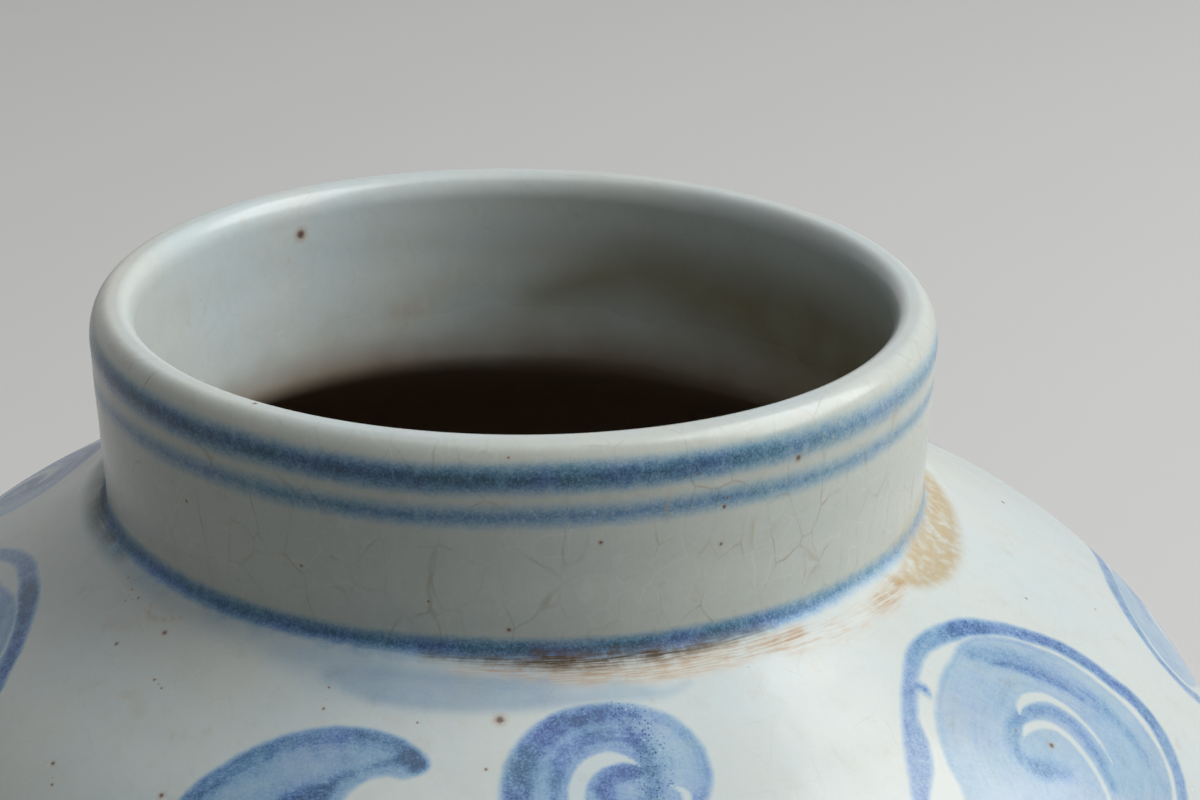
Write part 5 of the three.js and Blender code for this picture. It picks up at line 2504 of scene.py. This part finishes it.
@dataclass
class NeckSlip(Section):
    """The slip between collar and shoulder, which follows the step."""

    def strips(self, jar: Jar) -> list[Strip]:
        """The rim outside, the lower side of the step, the rim inside and the upper side.

        Args:
            jar: What the sections share.

        Returns:
            The strips, each starting where the one before ends.
        """
        low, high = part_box("neck_slip")
        seat, tongue = high[2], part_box("neck_collar")[0][2]
        thickness = tongue - low[2]
        outside = self.outside(jar, seat, seat - thickness)
        inside = self.inside(jar, tongue - thickness, tongue)
        edge = outside.start[0] - jar.outline.seat_width
        lower_edge = edge + thickness
        run = (outside.run[-1], inside.run[0])
        lower = [
            outside.end, (lower_edge, seat - thickness), (lower_edge, tongue - thickness), inside.start,
        ]
        upper = [inside.end, (edge, tongue), (edge, seat), outside.start]
        return [outside, *Strip.chain(lower, run), inside, *Strip.chain(upper, run)]


@dataclass
class UpperBowl(Section):
    """The shoulder, with the step cut round its opening."""

    def strips(self, jar: Jar) -> list[Strip]:
        """The shoulder down to the belly joint, and its inner face back up to the step.

        Args:
            jar: What the sections share.

        Returns:
            The strips, each starting where the one before ends.
        """
        low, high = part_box("upper_bowl")
        slip_low, slip_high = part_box("neck_slip")
        step, thickness = slip_low[2], slip_high[2] - high[2]
        outside, inside = self.outside(jar, high[2], low[2]), self.inside(jar, low[2], step)
        rim = jar.outer.at(np.array([jar.outer.run_at(high[2] + thickness)])).radius[0]
        edge = rim - jar.outline.seat_width + thickness
        run = (outside.run[-1], inside.run[0])
        stepped = [inside.end, (edge, step), (edge, high[2]), outside.start]
        return [
            outside, Strip.straight(outside.end, inside.start, run),
            inside, *Strip.chain(stepped, run),
        ]


@dataclass
class BellySlip(Section):
    """The slip between the bowls, with the bead that it leaves inside.

    Attributes:
        bead_depth: How far the bead stands out.
    """

    bead_depth: float = 2.6 * MM

    def strips(self, jar: Jar) -> list[Strip]:
        """The rim outside, the lower joint face, the bead and the upper joint face.

        Args:
            jar: What the sections share.

        Returns:
            The strips, each starting where the one before ends.
        """
        low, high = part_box("belly_slip")
        top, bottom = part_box("upper_bowl")[0][2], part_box("lower_bowl")[1][2]
        outside = self.outside(jar, top, bottom)
        below, above = self.inside(jar, bottom, low[2]), self.inside(jar, high[2], top)
        middle = ((below.end[0] + above.start[0]) / 2, (low[2] + high[2]) / 2)
        bead = ellipse(middle, self.bead_depth, (high[2] - low[2]) / 2, -90, -270)[THINNED]
        bead[0], bead[-1] = below.end, above.start
        run = (outside.run[-1], below.run[0])
        return [
            outside, Strip.straight(outside.end, below.start, run),
            below, Strip.curve(bead, float(below.run[-1]), Finish.GLAZE),
            above, Strip.straight(above.end, outside.start, run),
        ]


@dataclass
class LowerBowl(Section):
    """The tapering lower body, open at both ends."""

    def strips(self, jar: Jar) -> list[Strip]:
        """The outer face down to the floor's slip, and the inner face back up.

        Args:
            jar: What the sections share.

        Returns:
            The strips, each starting where the one before ends.
        """
        low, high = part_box("lower_bowl")
        outside, inside = self.outside(jar, high[2], low[2]), self.inside(jar, None, high[2])
        run = (outside.run[-1], inside.run[0])
        return [
            outside, Strip.straight(outside.end, inside.start, run),
            inside, Strip.straight(inside.end, outside.start, run),
        ]


@dataclass
class BaseSlip(Section):
    """The slip between the lower bowl and the floor plate."""

    def strips(self, jar: Jar) -> list[Strip]:
        """The rim outside, the lower joint face, the rim on the floor and the upper joint face.

        Args:
            jar: What the sections share.

        Returns:
            The strips, each starting where the one before ends.
        """
        low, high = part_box("base_slip")
        edge, floor_run = jar.outline.floor_radius, float(jar.inner.run[-1])
        outside = self.outside(jar, high[2], low[2])
        run = (outside.run[-1], floor_run)
        return [
            outside,
            Strip.straight(outside.end, (edge, low[2]), run),
            Strip.straight((edge, low[2]), (edge, high[2]), (floor_run, floor_run), Finish.GLAZE),
            Strip.straight((edge, high[2]), outside.start, run),
        ]


@dataclass
class FootedBase(Section):
    """The floor plate with its turned foot ring: glazed outside and over the floor, bare on its rim.

    Attributes:
        ring_width: The foot ring's width.
        recess_fillet: The radius between the ring and the ceiling of its recess.
    """

    ring_width: float = 10.5 * MM
    recess_fillet: float = 4 * MM

    def strips(self, jar: Jar) -> list[Strip]:
        """Floor, outer wall, bevelled rim, rounded recess and the recess's ceiling.

        Args:
            jar: What the sections share.

        Returns:
            The strips, each starting where the one before ends.
        """
        outline = jar.outline
        top, recess, bevel = outline.floor_height, outline.foot_height, outline.foot_bevel
        bulge_in, bulge_up = (share * bevel for share in outline.bevel_bulge)
        outside = self.outside(jar, top, None)
        ring_inside = outline.foot_radius - self.ring_width
        rounded = ellipse(
            (ring_inside - self.recess_fillet, recess - self.recess_fillet),
            self.recess_fillet, self.recess_fillet, 0, 90,
        )[THINNED]
        run = (float(outside.run[-1]),) * 2
        floor = (float(jar.inner.run[-1]),) * 2
        rim = [
            outside.end, (outline.foot_radius - bulge_in, bulge_up), (outline.foot_radius - bevel, 0.0),
            (ring_inside + bevel, 0.0), (ring_inside + bulge_in, bulge_up), (ring_inside, bevel),
        ]
        return [
            Strip.straight((0, top), (outline.floor_radius, top), floor, Finish.GLAZE),
            Strip.straight((outline.floor_radius, top), outside.start, floor),
            outside,
            *Strip.chain(rim, run, Finish.FOOT_RIM),
            Strip.straight(rim[-1], tuple(rounded[0]), run, Finish.GLAZE),
            Strip.curve(rounded, run[0], Finish.GLAZE),
            Strip.straight(tuple(rounded[-1]), (0, recess), run, Finish.GLAZE),
        ]


@dataclass(frozen=True)
class Softbox:
    """A square soft light that faces the jar's shoulder.

    Attributes:
        name: Its name.
        degrees: Its direction round the jar, from the camera's side towards +X.
        elevation: Its angle above level.
        size: The length of its side in metres.
        brightness: The share of a white surface's full brightness that it gives, facing it.
        distance: Its distance from the shoulder in metres.
    """

    name: str
    degrees: float
    elevation: float
    size: float
    brightness: float
    distance: float = 3.0

    def add(self, target: Vector) -> None:
        """Adds the light, facing a target.

        Args:
            target: The place that it faces.
        """
        lamp = bpy.data.lights.new(self.name, "AREA")
        lamp.shape = "SQUARE"
        lamp.size = self.size
        lamp.energy = self.brightness * np.pi**2 * self.distance**2
        angle, rise = np.radians(self.degrees), np.radians(self.elevation)
        direction = Vector((np.sin(angle) * np.cos(rise), -np.cos(angle) * np.cos(rise), np.sin(rise)))
        holder = bpy.data.objects.new(self.name, lamp)
        holder.location = target + direction * self.distance
        holder.rotation_euler = direction.to_track_quat("Z", "Y").to_euler()
        bpy.context.scene.collection.objects.link(holder)


@dataclass(frozen=True)
class Studio:
    """A plain pale floor, soft light and the camera.

    Attributes:
        camera_place: Where the camera stands.
        pitch: How far it looks down, in degrees.
        yaw: How far it looks to the right.
        roll: How far it leans.
        lens: Its focal length in millimetres.
        sensor: Its sensor's width in millimetres.
        nearest: The nearest distance that it sees, in metres.
        lights: The soft lights.
        shoulder: The place that they face.
        floor_half: Half the floor's width in metres.
        floor_colour: The floor's colour.
        floor_shade: How dark its mottles are beside it.
        floor_roughness: Its roughness.
        floor_bounce: The colour that the jar sees the floor in.
        floor_mottles: The floor's mottling, as the share of the darker colour.
        fade: Where the floor starts to fade into the backdrop and where it is gone, in millimetres.
        world_strength: The strength of the even light from all round.
        backdrop_strength: The strength in which it is seen.
    """

    camera_place: tuple[float, float, float] = (0.0, -0.5582, 0.4851)
    pitch: float = 21.26
    yaw: float = 1.56
    roll: float = 0.19
    lens: float = 100.0
    sensor: float = 36.0
    nearest: float = 0.01
    lights: tuple[Softbox, ...] = (
        Softbox("key_light", 89, 40, 2.5, 0.97), Softbox("top_light", 30, 80, 2.4, 0.22),
    )
    shoulder: tuple[float, float, float] = (0.0, 0.0, 0.22)
    floor_half: float = 6.0
    floor_colour: Colour = (0.8, 0.798, 0.785, 1)
    floor_shade: float = 0.94
    floor_roughness: float = 0.85
    floor_bounce: Colour = (0.3, 0.3, 0.3, 1)
    floor_mottles: Grain = Ripple(60, 4, most=0.3)
    fade: Point = (1500, 3500)
    world_strength: float = 0.06
    backdrop_strength: float = 0.6

    def set_camera(self) -> None:
        """Sets the camera at the photograph's place, angle and framing."""
        camera = bpy.data.cameras.new("camera")
        camera.lens = self.lens
        camera.sensor_width = self.sensor
        camera.clip_start = self.nearest
        holder = bpy.data.objects.new("camera", camera)
        pitch, yaw, roll = (np.radians(a) for a in (self.pitch, self.yaw, self.roll))
        ahead = Vector((np.sin(yaw) * np.cos(pitch), np.cos(yaw) * np.cos(pitch), -np.sin(pitch)))
        right = ahead.cross(Vector((0, 0, 1))).normalized()
        up = right.cross(ahead)
        tilted_right = right * np.cos(roll) + up * np.sin(roll)
        tilted_up = up * np.cos(roll) - right * np.sin(roll)
        turn = Matrix((tilted_right, tilted_up, -ahead)).transposed()
        holder.matrix_world = Matrix.Translation(self.camera_place) @ turn.to_4x4()
        bpy.context.scene.collection.objects.link(holder)
        bpy.context.scene.camera = holder

    def add_floor(self) -> None:
        """Adds the floor, a gently mottled pale surface that fades into the backdrop far from the jar."""
        mesh = bpy.data.meshes.new("floor")
        h = self.floor_half
        mesh.from_pydata([(-h, -h, 0), (h, -h, 0), (h, h, 0), (-h, h, 0)], [], [(0, 1, 2, 3)])
        floor = bpy.data.objects.new("floor", mesh)
        bpy.context.scene.collection.objects.link(floor)
        material = bpy.data.materials.new("pale_floor")
        g = Graph.of(material)
        place = g.place()
        shade = darker(self.floor_colour, self.floor_shade)
        mottled = g.blend(g.noise(place, self.floor_mottles), self.floor_colour, shade)
        colour = g.blend(self.seen(g), self.floor_bounce, mottled)
        shader = g.node("BsdfPrincipled", {"Base Color": colour, "Roughness": self.floor_roughness})
        haze = g.node("Emission", {0: (1, 1, 1, 1), 1: self.backdrop_strength})
        away = g.times(g.step(g.length(place), *self.fade), self.seen(g))
        faded = g.node("MixShader", {0: away, 1: shader.outputs[0], 2: haze.outputs[0]})
        g.finish("Material", faded.outputs[0])
        mesh.materials.append(material)
        floor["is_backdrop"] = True

    @staticmethod
    def seen(g: Graph) -> Socket:
        """1 where the camera, a reflection or a view through glass meets the surroundings, else 0.

        Args:
            g: The material's graph.

        Returns:
            The socket that tells them apart.
        """
        rays = g.node("LightPath").outputs
        mirrored = g.greater(rays["Is Glossy Ray"], rays["Is Transmission Ray"])
        return g.greater(rays["Is Camera Ray"], mirrored)

    def set_world(self) -> None:
        """Sets the even light from all round, seen as a pale backdrop."""
        world = bpy.data.worlds.new("studio")
        bpy.context.scene.world = world
        g = Graph.of(world)
        strength = g.blend_number(self.seen(g), self.world_strength, self.backdrop_strength)
        light = g.node("Background", {0: (1, 1, 1, 1), 1: strength})
        g.finish("World", light.outputs[0])

    def build(self) -> None:
        """Sets the camera, the floor and the lights."""
        self.set_camera()
        self.add_floor()
        self.set_world()
        for light in self.lights:
            light.add(Vector(self.shoulder))


def main() -> None:
    """Loads the frame, builds the jar's sections round it and sets the studio."""
    logging.basicConfig(level=logging.INFO, format="%(name)s: %(message)s")
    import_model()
    bpy.context.scene.view_settings.view_transform = "Standard"
    Studio().build()
    for effect in (crackle_effect, speck_effect, cobalt_effect, ring_effect):
        effect()
    jar = Jar.from_frame()
    jar.materials = [
        GlazeFinish().build(),
        ClayFinish("biscuit", (0.66, 0.64, 0.58, 1), (0.6, 0.5, 0.38, 1), 0.2, 0.1).build(),
        ClayFinish("foot_rim", (0.55, 0.46, 0.34, 1), (0.36, 0.2, 0.1, 1), 0.7, 0.5).build(),
    ]
    sections = (
        FootedBase("footed_base", Slot.BASE, spacing=1 * MM),
        BaseSlip("base_slip", Slot.SLIP),
        LowerBowl("lower_bowl", Slot.GLAZE, spacing=1.35 * MM, inner_spacing=6 * MM),
        BellySlip("belly_slip", Slot.SLIP),
        UpperBowl("upper_bowl", Slot.GLAZE, inner_spacing=6 * MM),
        NeckSlip("neck_slip", Slot.SLIP),
        NeckCollar("neck_collar", Slot.GLAZE, spacing=0.7 * MM, inner_spacing=0.9 * MM),
    )
    for section in sections:
        piece = section.build(jar)
        LOG.info("%s: %d points, %d faces", piece.name, len(piece.data.vertices), len(piece.data.polygons))
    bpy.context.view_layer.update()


if __name__ == "__main__":
    main()
